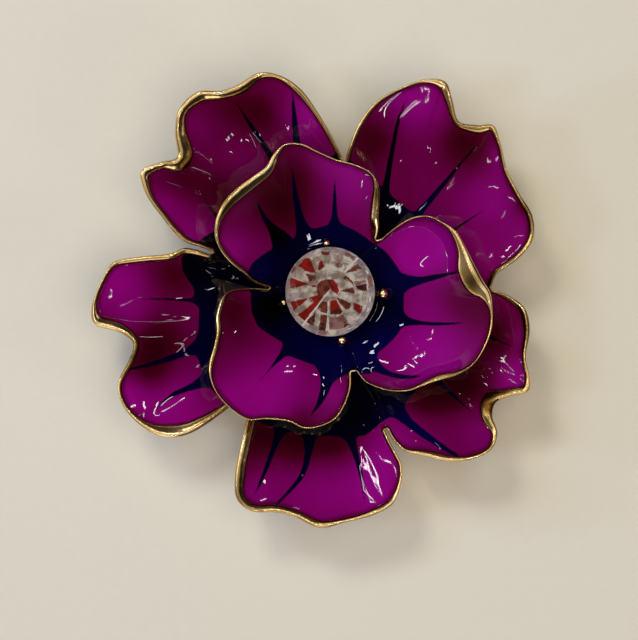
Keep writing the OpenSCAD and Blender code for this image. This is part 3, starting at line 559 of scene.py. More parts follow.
def buildEnamelGroup():
    tree, into, out = newGroup(
        "pouredEnamel",
        [("Navy Gap", "f", 1.0), ("Tone And Shade", "f", 0.0), ("Blue", "f", 1.0), ("Rim Gap", "f", 1.0),
         ("Rim Shade", "f", 0.5), ("Edge", "f", 0.08), ("Cloud", "f", 0.3),
         ("Bright", "c", (1, 0, 1, 1)), ("Middle", "c", (1, 0, 1, 1)), ("Maroon", "c", (1, 0, 0, 1)),
         ("Deep", "c", (1, 0, 0, 1)), ("Navy", "c", (0, 0, 1, 1)), ("Dark Heart And Shade", "c", (0, 0, 1, 1))],
        [("Color", "c"), ("Roughness", "f"), ("Height", "f")])
    # deep at tone -1, maroon at -0.5, middle at 0 and bright at 1; the tone is partly the enamel's depth
    # and partly painted shade and light
    cloud = sums(tree, "SUBTRACT", objectNoise(tree, enamelGrain["cloud"], 3, 0.55), 0.5)
    tone = sums(tree, "ADD", into.outputs["Tone And Shade"], sums(tree, "MULTIPLY", cloud, into.outputs["Cloud"]))
    fromDeep = sums(tree, "MULTIPLY_ADD", tone, 2, True, 2)
    fromMaroon = sums(tree, "MULTIPLY_ADD", tone, 2, True, 1)
    fromMiddle = sums(tree, "MULTIPLY", tone, 1, True)
    body = mixColour(tree, fromDeep, into.outputs["Deep"], into.outputs["Maroon"])
    body = mixColour(tree, fromMaroon, body, into.outputs["Middle"])
    body = mixColour(tree, fromMiddle, body, into.outputs["Bright"])
    # the enamel turns maroon along the rim
    rimNoise = objectNoise(tree, enamelGrain["rim"])
    rim = sums(tree, "MULTIPLY_ADD", rimNoise, enamelGrain["rimUneven"], False, into.outputs["Rim Gap"])
    rimFrom, rimTo = enamelGrain["rimFrom"], enamelGrain["rimTo"]
    rimShade = softStep(tree, rim, rimFrom, rimTo, into.outputs["Rim Shade"], 0.0)
    body = mixColour(tree, rimShade, body, into.outputs["Maroon"])
    # the navy of the veins and the heart runs in with a ragged edge
    ragged = sums(tree, "SUBTRACT", objectNoise(tree, enamelGrain["ragged"]), 0.5)
    ragged = sums(tree, "MULTIPLY", ragged, enamelGrain["raggedness"])
    gap = sums(tree, "ADD", into.outputs["Navy Gap"], ragged)
    insideEdge = sums(tree, "MULTIPLY", into.outputs["Edge"], -1)
    outside = softStep(tree, gap, insideEdge, into.outputs["Edge"])
    # the heart's navy meets a near-black that is partly dark enamel and partly painted shade
    blueAndShade = sums(tree, "ADD", into.outputs["Blue"], 0, True)
    navy = mixColour(tree, blueAndShade, into.outputs["Dark Heart And Shade"], into.outputs["Navy"])
    wire(tree, mixColour(tree, outside, navy, body), out.inputs["Color"])
    smooth, rough = enamelGrain["roughness"]
    gloss = softStep(tree, objectNoise(tree, enamelGrain["gloss"], 3, 0.6), 0.4, 0.75, smooth, rough)
    wire(tree, gloss, out.inputs["Roughness"])
    wire(tree, objectNoise(tree, enamelGrain["waves"]), out.inputs["Height"])
    return tree


# how much rougher the gilding is in its rich patches, and the scale of its fine grain
gildingGrain = {"rougher": 0.08, "fine": 900}


def buildGildingGroup():
    tree, into, out = newGroup(
        "castGilding",
        [("Pale", "c", (1, 1, 0, 1)), ("Rich", "c", (1, 0.5, 0, 1)),
         ("Amber", "c", (0.5, 0.3, 0, 1)), ("Shade Brown", "c", (0.1, 0.05, 0, 1)),
         ("Sheen And Shade", "f", 1.0), ("Patch", "f", 500.0), ("Smoothness", "f", 0.15)],
        [("Color", "c"), ("Roughness", "f"), ("Height", "f")])
    patch = softStep(tree, objectNoise(tree, into.outputs["Patch"], 3), 0.35, 0.65)
    metal = mixColour(tree, patch, into.outputs["Pale"], into.outputs["Rich"])
    # painted brown shade at shine 0, amber at 0.5, the clean metal at 1; shine paints reflection and shade
    # into the gilding
    fromShadeBrown = sums(tree, "MULTIPLY", into.outputs["Sheen And Shade"], 2, True)
    fromAmber = sums(tree, "MULTIPLY_ADD", into.outputs["Sheen And Shade"], 2, True, -1)
    paintedShade = mixColour(tree, fromShadeBrown, into.outputs["Shade Brown"], into.outputs["Amber"])
    wire(tree, mixColour(tree, fromAmber, paintedShade, metal), out.inputs["Color"])
    rough = sums(tree, "MULTIPLY_ADD", patch, gildingGrain["rougher"], False, into.outputs["Smoothness"])
    wire(tree, rough, out.inputs["Roughness"])
    wire(tree, objectNoise(tree, gildingGrain["fine"], 3, 0.6), out.inputs["Height"])
    return tree


def newMaterial(name):
    material = bpy.data.materials.new(name)
    material.use_nodes = True
    tree = material.node_tree
    return material, tree, tree.nodes["Principled BSDF"]


def useGroup(tree, group, values):
    made = tree.nodes.new("ShaderNodeGroup")
    made.node_tree = group
    for key, value in values.items():
        made.inputs[key].default_value = value
    return made


def addBump(tree, height, shader, depth):
    bump = tree.nodes.new("ShaderNodeBump")
    bump.inputs["Distance"].default_value = depth * mm
    bump.inputs["Strength"].default_value = 1.0
    wire(tree, height, bump.inputs["Height"])
    wire(tree, bump.outputs["Normal"], shader.inputs["Normal"])


enamelLook = {
    "Bright": (0.28, 0.001, 0.215, 1), "Middle": (0.125, 0.0, 0.058, 1), "Maroon": (0.06, 0.0, 0.012, 1),
    "Deep": (0.028, 0.0, 0.004, 1), "Edge": 0.07, "Cloud": 0.2, "Rim Shade": 0.7,
}
enamelGloss = {"ior": 1.5, "specular": 0.15}
bumps = {"enamel": 0.0004, "gilding": 0.04, "pin": 0.02}  # depth in millimetres
# the enamel in the veins and in the middle of the dark hearts; the heart's near-black is partly dark enamel
# and partly painted shade
heartLook = {
    "outer": {"Navy": (0.001, 0.0003, 0.045, 1), "Dark Heart And Shade": (0.0004, 0.0002, 0.0006, 1)},
    "inner": {"Navy": (0.0008, 0.0003, 0.045, 1), "Dark Heart And Shade": (0.0004, 0.0002, 0.0006, 1)},
}


def enamelMaterial(name, group, values):
    material, tree, shader = newMaterial(name)
    coat = useGroup(tree, group, values)
    for title, key in (("navyGap", "Navy Gap"), ("tone", "Tone And Shade"), ("blueAndShade", "Blue"), ("rimGap", "Rim Gap")):
        field = tree.nodes.new("ShaderNodeAttribute")
        field.attribute_name = title
        wire(tree, field.outputs["Fac"], coat.inputs[key])
    wire(tree, coat.outputs["Color"], shader.inputs["Base Color"])
    wire(tree, coat.outputs["Roughness"], shader.inputs["Roughness"])
    shader.inputs["IOR"].default_value = enamelGloss["ior"]
    shader.inputs["Specular IOR Level"].default_value = enamelGloss["specular"]
    addBump(tree, coat.outputs["Height"], shader, bumps["enamel"])
    return material


def goldMaterial(name, group, values, bumpDepth, fieldName=""):
    material, tree, shader = newMaterial(name)
    gilding = useGroup(tree, group, values)
    if fieldName:
        field = tree.nodes.new("ShaderNodeAttribute")
        field.attribute_name = fieldName
        wire(tree, field.outputs["Fac"], gilding.inputs["Sheen And Shade"])
    wire(tree, gilding.outputs["Color"], shader.inputs["Base Color"])
    wire(tree, gilding.outputs["Roughness"], shader.inputs["Roughness"])
    shader.inputs["Metallic"].default_value = 1.0
    addBump(tree, gilding.outputs["Height"], shader, bumpDepth)
    return material


enamelGroup = buildEnamelGroup()
gildingGroup = buildGildingGroup()
magenta = {}
for title, hearts in heartLook.items():
    magenta[title] = enamelMaterial(title + "Magenta", enamelGroup, {**enamelLook, **hearts})
goldLook = {
    "Pale": (0.93, 0.72, 0.42, 1), "Rich": (0.82, 0.54, 0.24, 1), "Amber": (0.52, 0.35, 0.145, 1),
    "Shade Brown": (0.07, 0.03, 0.004, 1), "Patch": 450.0, "Smoothness": 0.12,
}
gold = goldMaterial("brightGilding", gildingGroup, goldLook, bumps["gilding"])
# the petals' gilding takes its painted reflection and shade from the shine field
petalGold = goldMaterial("petalGilding", gildingGroup, goldLook, bumps["gilding"], "shine")
pinLook = {"Pale": (0.80, 0.62, 0.38, 1), "Rich": (0.70, 0.50, 0.27, 1), "Patch": 300.0, "Smoothness": 0.25}
pinGold = goldMaterial("pinGilding", gildingGroup, pinLook, bumps["pin"])
print("materials made")


def dress(piece, material, slotName, *nodes):
    piece.data.materials.clear()
    piece.data.materials.append(material)
    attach(piece, "root")
    if nodes:
        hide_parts(*nodes)


for title, layer in (("outer", outerLayer), ("inner", innerLayer)):
    dress(petalMetal(title + "Metal", layer), petalGold, "gilt_metal", title + "_petals")
    first, *others = petalEnamel(title + "Enamel", layer)
    dress(first, magenta[title], "petal_enamel", title + "_enamel")
    for piece in others:
        dress(piece, magenta[title], "petal_enamel")
    print(title, "petals made")

stone = {
    "girdle": 10.7, "band": 0.2, "crown": 1.5, "pavilion": 2.0, "radius": 5.0,
    "table": 2.3, "innerRow": 3.9, "innerRowUp": 0.72, "facets": 16,
    # the foil behind it: spokes and rings of its mesh, its gap under the crown and over the tip,
    # and how steep it is against the back
    "foilSpokes": 256, "foilStep": 0.1, "foilUnder": 0.02, "foilOver": 0.1, "foilSlope": 0.5,
    # the foil's colours are painted reflections, and its white facets painted highlights
    # what the foil shows: a lilac ring outside this circle, then facets, each the letter of its colour
    # and its corners, in millimetres from the stone's middle
    "lilacReflectionRing": [(-0.1, 0), 4.2],
    "reflectionFacets": [
        ["m", [4, 1.7], [4.6, 1.9], [4.8, 0.6], [4, 0.4]],
        ["m", [-4.4, 2.2], [-4, 3], [-3.6, 2.7], [-4.1, 1.9]],
        ["m", [-1.4, -4.7], [-1.3, -4.2], [-0.4, -4.2], [-0.5, -4.9]],
        ["p", [-0.3, -4.2], [0.7, -4.2], [0.7, -4.9], [-0.3, -4.9]],
        ["p", [-2.2, 4.3], [-1.1, 4.8], [-1, 4.3], [-1.8, 3.9]],
        ["w", [3.8, 2.3], [4.1, 2.3], [4.3, 2], [4, 1.9]],
        ["w", [4.1, -0.7], [4.4, -0.3], [4.4, -0.8], [4.3, -1.2]],
        ["w", [4, -1.7], [4.3, -1.8], [4.1, -2.2], [4, -2.1]],
        ["w", [1.9, -4], [2.4, -3.8], [2.4, -3.9], [2, -4.2]],
        ["r", [-3.4, 2.7], [-2.8, 3.6], [-2.1, 3.6], [-1.9, 2.9], [-1.5, 2], [-2.2, 2.1], [-2.8, 2.3]],
        ["r", [-1.2, 3.2], [-0.9, 3.4], [-0.6, 2.7], [-1.1, 2.2], [-1.3, 2.4]],
        ["b", [-1, 4.3], [0, 4.3], [-0.1, 3.8], [-0.9, 3.8]],
        ["m", [0.6, 3], [1, 3.2], [1.4, 3], [1.3, 2.6], [0.8, 2.5]],
        ["m", [1.6, 4.3], [2.8, 3.8], [2.4, 3.5], [1.6, 3.8]],
        ["b", [1.6, 2], [2.9, 3], [3.3, 2.4], [2.7, 2.2]],
        ["b", [1.4, 1.6], [1.7, 1.7], [2.4, 1.1], [2.5, 0.6], [2.2, 0.9]],
        ["b", [1.1, 0.1], [2.5, 0.5], [2.6, -0.2]],
        ["d", [2.6, 0.6], [3.8, 0.8], [3.8, 0], [3.2, 0.2]],
        ["m", [2.4, 1.1], [3.7, 1.2], [3.8, 0.9], [2.6, 0.7]],
        ["b", [0.7, -0.6], [2.2, -1.2], [2.1, -1.7], [1.7, -1.9], [1, -1.2]],
        ["r", [2.5, -1.1], [3.4, -1.5], [3.1, -2.3], [2.5, -1.9]],
        ["r", [0, -1], [0.7, -0.9], [1.2, -1.9], [0, -2.1]],
        ["d", [0, -2.1], [1.2, -1.9], [1.3, -2.1], [1.1, -2.4], [0, -2.4]],
        ["b", [-1.4, -1.7], [-0.9, -1.1], [-0.3, -1.1], [-0.3, -2.3], [-0.9, -2.1]],
        ["m", [-0.1, -2.6], [0.5, -2.8], [1.3, -2.4], [2.1, -3.4], [1.4, -3.9], [-0.1, -4]],
        ["d", [1.5, -3.2], [2.1, -3.4], [1.4, -3.9]],
        ["b", [-1, -2.4], [-0.3, -2.5], [-0.4, -3.5], [-1.1, -3.4]],
        ["d", [-1.1, -3.4], [-0.4, -3.5], [-0.5, -4.2], [-1.2, -4]],
        ["d", [-2.5, -3.2], [-1.6, -2.2], [-1.7, -3.6]],
        ["r", [-3.5, -2.5], [-2.2, -1.5], [-1.6, -1], [-1.3, -1.4], [-2.7, -3.1]],
        ["r", [-4.3, -1.1], [-2.2, -0.6], [-3.9, -2.1]],
        ["r", [-4.3, 1.5], [-2.3, 0.8], [-4.3, 0.3]],
        ["b", [-2.7, 2], [-2, 1.8], [-1.5, 1.7], [-1.6, 1.4], [-2.1, 1]],
        ["r", [-2.1, 0.7], [-1.6, 0.8], [-1.6, 0.5], [-2, 0.5]],
        ["r", [-2.2, -0.6], [-1.5, -0.4], [-0.5, -0.1], [-1.4, -1.4], [-1.8, -1.2]],
        ["l", [-4.4, -0.2], [-2.8, 0], [-3.1, -0.6], [-4.3, -0.9]],
        ["b", [-1.5, 0.2], [-1.5, 0.7], [-1.1, 1.2], [-0.5, 1.4], [0, 1.2], [0, 0.3], [-0.5, -0.2],
         [-1.1, -0.7], [-1.4, -0.4]],
        ["r", [-0.5, 1.4], [0.3, 1.4], [0.8, 0.9], [1, 0.1], [0.8, -0.3], [0.2, 0.1], [0, 0.6]],
        ["d", [-0.4, 1.4], [0, 1.3], [0.4, 0.6], [0.2, 0.2], [0, 0.6]],
        ["p", [-1, -0.9], [0, 0], [0.8, -0.4], [0.4, -0.9], [-0.4, -1.1]],
        ["w", [-3.2, -3.75], [-3.05, -3.85], [0.05, 0.2], [-0.05, 0.25]],
        ["w", [3.05, 3.85], [3.2, 3.75], [1.55, 1.95], [1.4, 2.1]],
        ["w", [-0.25, -1.1], [-0.15, -1.1], [-0.2, -4], [-0.3, -4]],
        ["p", [-4.1, -2.6], [-2.2, -0.7], [-2.5, -1.5]],
    ],
}
# painted reflection colours: red, brown, dark, muted, lilac, white and pale facets, the white ones painted
# highlights, each in a lighter and a deeper shade
reflectionColours = {
    "r": [(0.36, 0.018, 0.012, 1), (0.2, 0.01, 0.007, 1)],
    "b": [(0.24, 0.06, 0.04, 1), (0.11, 0.022, 0.015, 1)],
    "d": [(0.12, 0.02, 0.018, 1), (0.045, 0.008, 0.008, 1)],
    "m": [(0.36, 0.19, 0.16, 1), (0.2, 0.07, 0.065, 1)],
    "l": [(0.5, 0.43, 0.42, 1), (0.27, 0.2, 0.21, 1)],
    "w": [(0.9, 0.84, 0.78, 1), (0.8, 0.74, 0.68, 1)],
    "p": [(0.78, 0.7, 0.58, 1), (0.3, 0.22, 0.18, 1)],
}


def ringSpots(count, shift, radius, z):
    turns = (np.arange(count) + shift) * 360 / count
    return np.column_stack([spot(turns, radius), np.full(count, z)])


def crownPiece():
    n = stone["facets"]
    low = stone["girdle"] - stone["band"] / 2
    high = stone["girdle"] + stone["band"] / 2
    rings = [ringSpots(n, 0, stone["table"], high + stone["crown"]),
             ringSpots(n, 0.5, stone["innerRow"], high + stone["crown"] * stone["innerRowUp"]),
             ringSpots(n, 0, stone["radius"], high),
             ringSpots(n, 0, stone["radius"], low)]
    points = np.concatenate(rings + [[[0, 0, low]]])
    faces = [list(range(n))]
    for i in range(n):
        j = (i + 1) % n
        faces += [[i, n + i, j], [n + i, n + j, j]]
        faces += [[n + i, 2 * n + j, n + j], [n + i, 2 * n + i, 2 * n + j]]
        faces += [[2 * n + i, 3 * n + i, 3 * n + j, 2 * n + j], [3 * n + i, 4 * n, 3 * n + j]]
    return placed("stoneCrown", points, faces)


# which points lie within a polygon
def inside(points, corners):
    x, y = points[:, 0], points[:, 1]
    odd = np.zeros(len(points), bool)
    for (ax, ay), (bx, by) in zip(corners, corners[1:] + corners[:1]):
        if ay != by:
            odd ^= ((ay > y) != (by > y)) & (x < (bx - ax) * (y - ay) / (by - ay) + ax)
    return odd


def foilPiece():
    n = stone["foilSpokes"]
    top = stone["girdle"] - stone["band"] / 2 - stone["foilUnder"]
    depth = stone["pavilion"] - stone["foilOver"]
    drop = stone["foilSlope"] * depth / stone["radius"]
    count = round(stone["radius"] / stone["foilStep"])
    reaches = np.arange(1, count + 1) * stone["foilStep"]
    turns = np.arange(n) * 360 / n
    wide = 360 / stone["facets"]
    flat = np.cos(np.radians((turns % wide) - wide / 2)) / math.cos(math.radians(wide / 2))
    rings = [np.column_stack([spot(turns, r), top - (stone["radius"] - r * flat) * drop]) for r in reaches]
    rings[-1][:, 2] = top
    ends = [[0, 0, top - stone["radius"] * drop], [0, 0, top - depth]]
    points = np.concatenate(rings + [ends])
    hub = len(points) - 2
    last = (len(reaches) - 1) * n
    faces = [[hub, i, (i + 1) % n] for i in range(n)]
    for j in range(len(reaches) - 1):
        a, b = j * n, (j + 1) * n
        faces += [[a + i, b + i, b + (i + 1) % n, a + (i + 1) % n] for i in range(n)]
    middles = np.array([points[face][:, :2].mean(axis=0) for face in faces])
    tones = np.full(len(faces), "p")
    ringMiddle, ringStart = stone["lilacReflectionRing"]
    tones[np.linalg.norm(middles - ringMiddle, axis=1) > ringStart] = "l"
    for letter, *corners in stone["reflectionFacets"]:
        tones[inside(middles, corners)] = letter
    faces += [[hub + 1, last + (i + 1) % n, last + i] for i in range(n)]
    tones = list(tones) + ["b"] * n
    return placed("stoneFoil", points, faces), tones


crystalLook = {"colour": (0.97, 0.95, 0.97, 1), "ior": 1.35}
foilLook = {"Patch": 1300.0, "Smoothness": 0.12}
foilMetallic = 0.2


# clear, and light passes straight through it to the foil
def crystalMaterial():
    material, tree, shader = newMaterial("clearCrystal")
    shader.inputs["Base Color"].default_value = crystalLook["colour"]
    shader.inputs["Roughness"].default_value = 0.0
    shader.inputs["IOR"].default_value = crystalLook["ior"]
    shader.inputs["Transmission Weight"].default_value = 1.0
    clear = tree.nodes.new("ShaderNodeBsdfTransparent")
    path = tree.nodes.new("ShaderNodeLightPath")
    mix = tree.nodes.new("ShaderNodeMixShader")
    wire(tree, path.outputs["Is Shadow Ray"], mix.inputs[0])
    wire(tree, shader.outputs[0], mix.inputs[1])
    wire(tree, clear.outputs[0], mix.inputs[2])
    wire(tree, mix.outputs[0], tree.nodes["Material Output"].inputs["Surface"])
    return material


def foilMaterial(letter):
    material, tree, shader = newMaterial("foil" + letter.upper())
    pale, rich = reflectionColours[letter]
    shine = useGroup(tree, gildingGroup, {"Pale": pale, "Rich": rich, **foilLook})
    wire(tree, shine.outputs["Color"], shader.inputs["Base Color"])
    wire(tree, shine.outputs["Roughness"], shader.inputs["Roughness"])
    shader.inputs["Metallic"].default_value = foilMetallic
    return material


crown = crownPiece()
dress(crown, crystalMaterial(), "crystal", "stone")
foil, tones = foilPiece()
letters = list(reflectionColours)
dress(foil, foilMaterial(letters[0]), "crystal")
for letter in letters[1:]:
    foil.data.materials.append(foilMaterial(letter))
foil.data.polygons.foreach_set("material_index", [letters.index(tone) for tone in tones])
print("stone made")

# the setting and the pin keep their solids
for name, material in (("setting", gold), ("pin_back", pinGold)):
    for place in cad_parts[name].material_slots:
        place.material = material
print("setting and pin dressed")

surface = {
    "size": 1.2, "colour": (0.78, 0.745, 0.675, 1), "grain": (0.77, 0.733, 0.66, 1),
    "grainScale": 900, "roughness": 0.6,
}
bpy.ops.mesh.primitive_plane_add(size=surface["size"])
floor = bpy.context.object
floor.name = "paleSurface"
floorMaterial, tree, shader = newMaterial("paleCard")
grain = softStep(tree, objectNoise(tree, surface["grainScale"], 4, 0.6), 0.3, 0.7)
wire(tree, mixColour(tree, grain, surface["grain"], surface["colour"]), shader.inputs["Base Color"])
shader.inputs["Roughness"].default_value = surface["roughness"]
floor.data.materials.append(floorMaterial)
print("surface laid")

# the photo's camera: width and focal length in pixels, height over the surface and the place under
# it in millimetres; places on the flower were read at readHeight
photo = {"width": 638, "focal": 2407, "height": 280.0, "middle": (0.727, -2.214), "readHeight": 8.0}

studio = {
    # soft boxes: place, size, power, colour
    "boxes": [
        [(60, -60, 460), (400, 400), 1.2, (1.0, 0.89, 0.72)],
        [(-115, 200, 330), (90, 90), 0.42, (1.0, 0.97, 0.75)],
        [(-205, 170, 300), (60, 60), 0.1, (0.6, 1.0, 1.7)],
        [(-265, -25, 300), (60, 60), 0.12, (0.8, 1.0, 1.5)],
        [(-370, 0, 150), (50, 50), 0.2, (0.7, 1.0, 1.5)],
        [(305, -175, 190), (120, 120), 0.15, (1.1, 1.0, 1.0)],
    ],
    # thin strips round the camera's opening: x, y, length, direction
    "strips": [
        [-178, -52, 14, 20], [-163, 40, 30, 95], [-103, 118, 30, 50], [-10, 170, 34, 0],
        [82, 178, 34, 110], [200, 210, 20, 40], [85, -140, 16, 150], [-38, -185, 14, 150],
        [-240, 70, 26, 100],
    ],
    "stripHeight": 330, "stripWidth": 8, "stripRadiance": 60,
    # white cards that show in the gilding alone: place, size, radiance
    "cards": [
        [(-20, 20, 420), (700, 700), 0.72],
        [(-40, 50, 400), (170, 170), 0.96],
        [(-260, 70, 190), (170, 150), 2.88],
        [(-30, -290, 160), (220, 100), 2.4],
        [(-80, 280, 220), (180, 70), 2.08],
        [(270, -60, 120), (60, 60), 1.28],
    ],
    "cardColour": (1.0, 0.97, 0.92),
}

# the window's glints on each petal's enamel, as the camera sees them: strength, width, then the
# points along it, all read off the photo
glints = {
    "outerEnamelUpperRight": [
        [1, 0.3, [10.2, 23.1], [10.4, 22.4]],
        [1, 0.25, [10.5, 21.8], [10.9, 21.2]],
        [0.6, 0.15, [19, 15.4], [18.5, 14.8]],
        [0.5, 0.15, [11.9, 14.6]],
        [1, 0.3, [6.5, 9.7], [7.4, 9.7]],
        [0.6, 0.12, [7.5, 9.7], [8.2, 9.9]],
        [1, 0.2, [21.6, 5.5], [21, 4.7], [20.4, 4.1]],
        [0.7, 0.15, [19.4, 3.3]],
    ],
    "outerEnamelUpperLeft": [
        [0.6, 0.12, [-11.1, 18], [-11.5, 17.1]],
        [0.7, 0.15, [-11.3, 15.8]],
        [0.3, 0.12, [-8.7, 18], [-8.1, 17.2], [-7.7, 16.8]],
        [1, 0.15, [-4, 17.6], [-3.5, 18]],
    ],
    "outerEnamelLeft": [
        [1, 0.2, [-25.7, 0.9], [-25.1, 0.6]],
        [1, 0.3, [-24.6, 0.1], [-25, -0.6]],
        [1, 0.25, [-21, -12.4], [-20.9, -13.2], [-20.5, -14.7]],
        [1, 0.2, [-23, -12.8], [-22.5, -13], [-21.9, -12.8]],
        [0.3, 0.12, [-15.5, -4.2], [-15.9, -5], [-16.6, -6], [-17.3, -6.8]],
        [0.4, 0.2, [-18.4, -3.2], [-17.8, -3.1]],
        [0.5, 0.1, [-13.4, 3.7], [-12.5, 3.4]],
        [0.4, 0.1, [-14.3, 2.7], [-13.1, 1.8]],
        [0.6, 0.12, [-12.2, 0.8]],
        [0.6, 0.12, [-11.4, 1.1]],
    ],
    "outerEnamelBottom": [
        [1, 0.15, [-7.9, -23.6], [-7.3, -23.3]],
        [0.7, 0.2, [-3.9, -24.4]],
        [1, 0.25, [3.4, -17.7], [3.5, -18.2]],
        [1, 0.3, [3.7, -19], [4, -20], [4.8, -21.1], [5.5, -21.6], [5.8, -22.8]],
        [1, 0.2, [5.2, -18.1], [6, -19], [7.2, -19.6]],
        [1, 0.3, [4.9, -24.1], [5.4, -24.3]],
    ],
    "outerEnamelLowerRight": [
        [1, 0.3, [19.3, -7.8], [19.7, -7.7]],
        [0.4, 0.12, [17.7, -9.6], [18.4, -9.2]],
        [0.5, 0.12, [20, -9], [20.8, -9.3]],
        [0.7, 0.15, [20, -9.9], [20.4, -9.9]],
        [0.6, 0.12, [17.5, -10.4]],
        [0.7, 0.12, [17.3, -12.1], [17.9, -11.7]],
        [0.4, 0.12, [9.1, -15.7]],
    ],
    "innerEnamelRight": [
        [1, 0.3, [9.2, 7.5], [9.5, 7.3]],
        [1, 0.25, [12.8, 5.5], [13.3, 6.4]],
        [1, 0.25, [13, 4.6], [13.3, 3.9]],
        [1, 0.2, [7.9, -3.8], [8.3, -3.6]],
        [1, 0.2, [5, -6.2], [5.5, -5.7]],
        [1, 0.2, [10.9, -5.4], [11.6, -4.6]],
        [1, 0.25, [10.6, -6.4], [10.3, -7.7]],
        [1, 0.25, [5.6, -7.7], [6.6, -8]],
        [1, 0.3, [8.5, -8.3], [9.6, -8.5], [9.6, -7.8]],
    ],
    "innerEnamelLow": [
        [1, 0.25, [1.4, -8.5], [1.2, -9.3], [1.3, -10.9]],
        [1, 0.3, [-4.9, -8.4]],
        [1, 0.25, [-10.8, -4.6], [-10.6, -4.4]],
    ],
    "innerEnamelLeft": [
        [1, 0.3, [2.9, 14.2], [2.4, 13.5]],
        [1, 0.25, [3.9, 13.2], [4.5, 13.1]],
        [1, 0.2, [-2.3, 4.6], [-2, 5.3], [-1.3, 5.9]],
    ],
}
# the panes of light that make them hang on a dome round the flower, no longer and wider than largest
glintDome = {
    "radius": 400, "radiance": 55, "dot": 0.2, "narrowest": 2, "largest": (40, 5),
    "ownLargest": {
        "innerEnamelRight": (70, 8), "outerEnamelBottom": (60, 6), "outerEnamelUpperRight": (24, 4),
    },
}


# a rectangle of light that faces the flower
def aimedLight(name, place, size, watts, colour):
    aim = Vector((0, 0, photo["readHeight"])) * mm
    lamp = bpy.data.lights.new(name, "AREA")
    lamp.shape = "RECTANGLE"
    lamp.size, lamp.size_y = size[0] * mm, size[1] * mm
    lamp.energy = watts
    lamp.color = colour
    light = bpy.data.objects.new(name, lamp)
    light.location = [v * mm for v in place]
    light.rotation_euler = (aim - light.location).to_track_quat("-Z", "Y").to_euler()
    bpy.context.scene.collection.objects.link(light)
    return light


for i, (place, size, watts, colour) in enumerate(studio["boxes"]):
    box = aimedLight(f"softBox{i}", place, size, watts, colour)
    box.visible_glossy = False
    box.visible_transmission = False
gilded = bpy.data.collections.new("gildedPieces")
for name in ("outerMetal", "innerMetal"):
    gilded.objects.link(bpy.data.objects[name])
gilded.objects.link(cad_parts["setting"])
for i, (x, y, length, direction) in enumerate(studio["strips"]):
    watts = studio["stripRadiance"] * math.pi * length * studio["stripWidth"] * mm ** 2
    size = (length, studio["stripWidth"])
    strip = aimedLight(f"strip{i}", (x, y, studio["stripHeight"]), size, watts, (1, 1, 1))
    strip.rotation_euler = (0, 0, math.radians(direction))
    strip.visible_diffuse = False
    strip.light_linking.receiver_collection = gilded
for i, (place, size, radiance) in enumerate(studio["cards"]):
    watts = radiance * math.pi * size[0] * size[1] * mm ** 2
    card = aimedLight(f"card{i}", place, size, watts, studio["cardColour"])
    card.light_linking.receiver_collection = gilded


# where on the dome the camera looks when it sees the dome mirrored at a place on a petal's enamel
def mirroredPlace(mesh, facets, place):
    eye = Vector((*photo["middle"], photo["height"]))
    seen = Vector((place[0] + flower["axis"][0], place[1] + flower["axis"][1], photo["readHeight"]))
    way = (seen - eye).normalized()
    hit, _, index, _ = facets.ray_cast(eye * mm, way)
    if hit is None:
        return None
    facet = mesh.polygons[index]
    shares = poly_3d_calc([mesh.vertices[v].co for v in facet.vertices], hit)
    normal = Vector((0, 0, 0))
    for corner, share in zip(facet.loop_indices, shares):
        normal += mesh.corner_normals[corner].vector * share
    normal.normalize()
    return hit / mm + (way - 2 * way.dot(normal) * normal) * glintDome["radius"]


# places on the dome for a stretch of a glint: its start, its end, and both sides of its middle
def paneCorners(mesh, facets, start, end, width):
    start, end = Vector(start), Vector(end)
    across = Vector((start.y - end.y, end.x - start.x)).normalized() * width / 2
    middle = (start + end) / 2
    return [mirroredPlace(mesh, facets, place) for place in (start, end, middle - across, middle + across)]


def hangPane(name, corners, strength, largest, seenBy):
    start, end, left, right = corners
    middle = (start + end) / 2
    away = (middle - Vector((*flower["axis"], photo["readHeight"]))).normalized()
    along = (end - start).normalized()
    along = (along - away * along.dot(away)).normalized()
    side = right - left
    wide = (side - along * side.dot(along)).length
    size = (min((end - start).length, largest[0]), min(max(wide, glintDome["narrowest"]), largest[1]))
    watts = glintDome["radiance"] * strength * math.pi * size[0] * size[1] * mm ** 2
    pane = aimedLight(name, middle, size, watts, (1, 1, 1))
    pane.rotation_euler = Matrix((along, away.cross(along), away)).transposed().to_euler()
    pane.visible_diffuse = False
    pane.light_linking.receiver_collection = seenBy


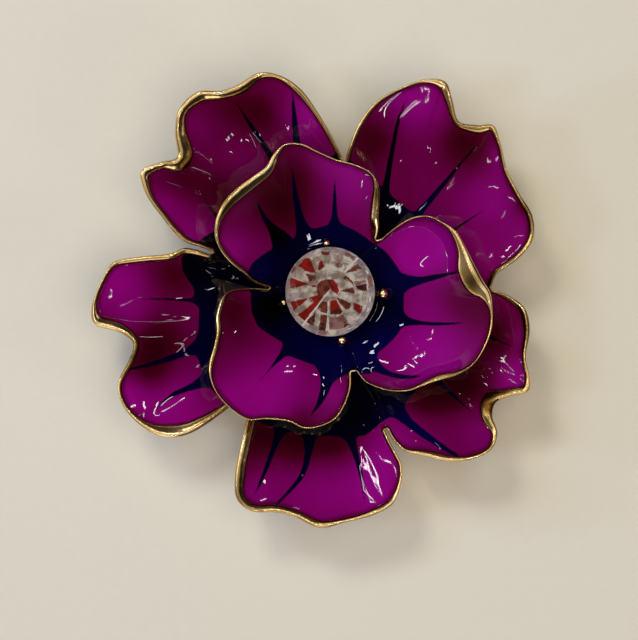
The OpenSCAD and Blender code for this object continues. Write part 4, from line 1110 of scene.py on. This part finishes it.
for petal, rows in glints.items():
    seenBy = bpy.data.collections.new(petal + "Glints")
    seenBy.objects.link(bpy.data.objects[petal])
    mesh = bpy.data.objects[petal].data
    facets = BVHTree.FromPolygons([v.co for v in mesh.vertices], [f.vertices for f in mesh.polygons])
    largest = glintDome["ownLargest"].get(petal, glintDome["largest"])
    for i, (strength, width, *points) in enumerate(rows):
        if len(points) == 1:
            points.append([points[0][0] + glintDome["dot"], points[0][1]])
        for letter, start, end in zip("abcd", points[:-1], points[1:]):
            corners = paneCorners(mesh, facets, start, end, width)
            if None not in corners:  # None is a place beside the petal
                hangPane(f"{petal}Glint{i}{letter}", corners, strength, largest, seenBy)
print("lights hung")

room = {
    # from the horizon up: height, colour
    "tones": [
        [0.0, (1.0, 0.93, 0.8, 1)], [0.14, (1.0, 0.95, 0.85, 1)], [0.28, (0.25, 0.22, 0.18, 1)],
        [0.6, (0.16, 0.14, 0.11, 1)], [0.95, (0.05, 0.045, 0.04, 1)],
    ],
    "left": 1.0, "right": 0.15,  # brightness of its two sides
}
world = bpy.data.worlds.new("room")
bpy.context.scene.world = world
world.use_nodes = True
tree = world.node_tree
sky = tree.nodes["Background"]
place = tree.nodes.new("ShaderNodeTexCoord")
split = tree.nodes.new("ShaderNodeSeparateXYZ")
wire(tree, place.outputs["Generated"], split.inputs[0])
ramp = tree.nodes.new("ShaderNodeValToRGB")
wire(tree, split.outputs["Z"], ramp.inputs["Fac"])
lowest, *between, highest = room["tones"]
stops = ramp.color_ramp.elements
stops[0].color = lowest[1]
stops[1].position, stops[1].color = highest
for at, colour in between:
    stops.new(at).color = colour
wire(tree, ramp.outputs["Color"], sky.inputs["Color"])
brightness = softStep(tree, split.outputs["X"], -0.6, 0.4, room["left"], room["right"])
wire(tree, brightness, sky.inputs["Strength"])

sensorWidth = 36
lens = bpy.data.cameras.new("photoCamera")
lens.sensor_fit = "HORIZONTAL"
lens.sensor_width = sensorWidth
lens.lens = photo["focal"] / photo["width"] * sensorWidth
lens.clip_start = 10 * mm
camera = bpy.data.objects.new("photoCamera", lens)
camera.location = Vector((*photo["middle"], photo["height"])) * mm
bpy.context.scene.collection.objects.link(camera)
bpy.context.scene.camera = camera
bpy.context.scene.view_settings.view_transform = "Standard"
print("room and camera placed")
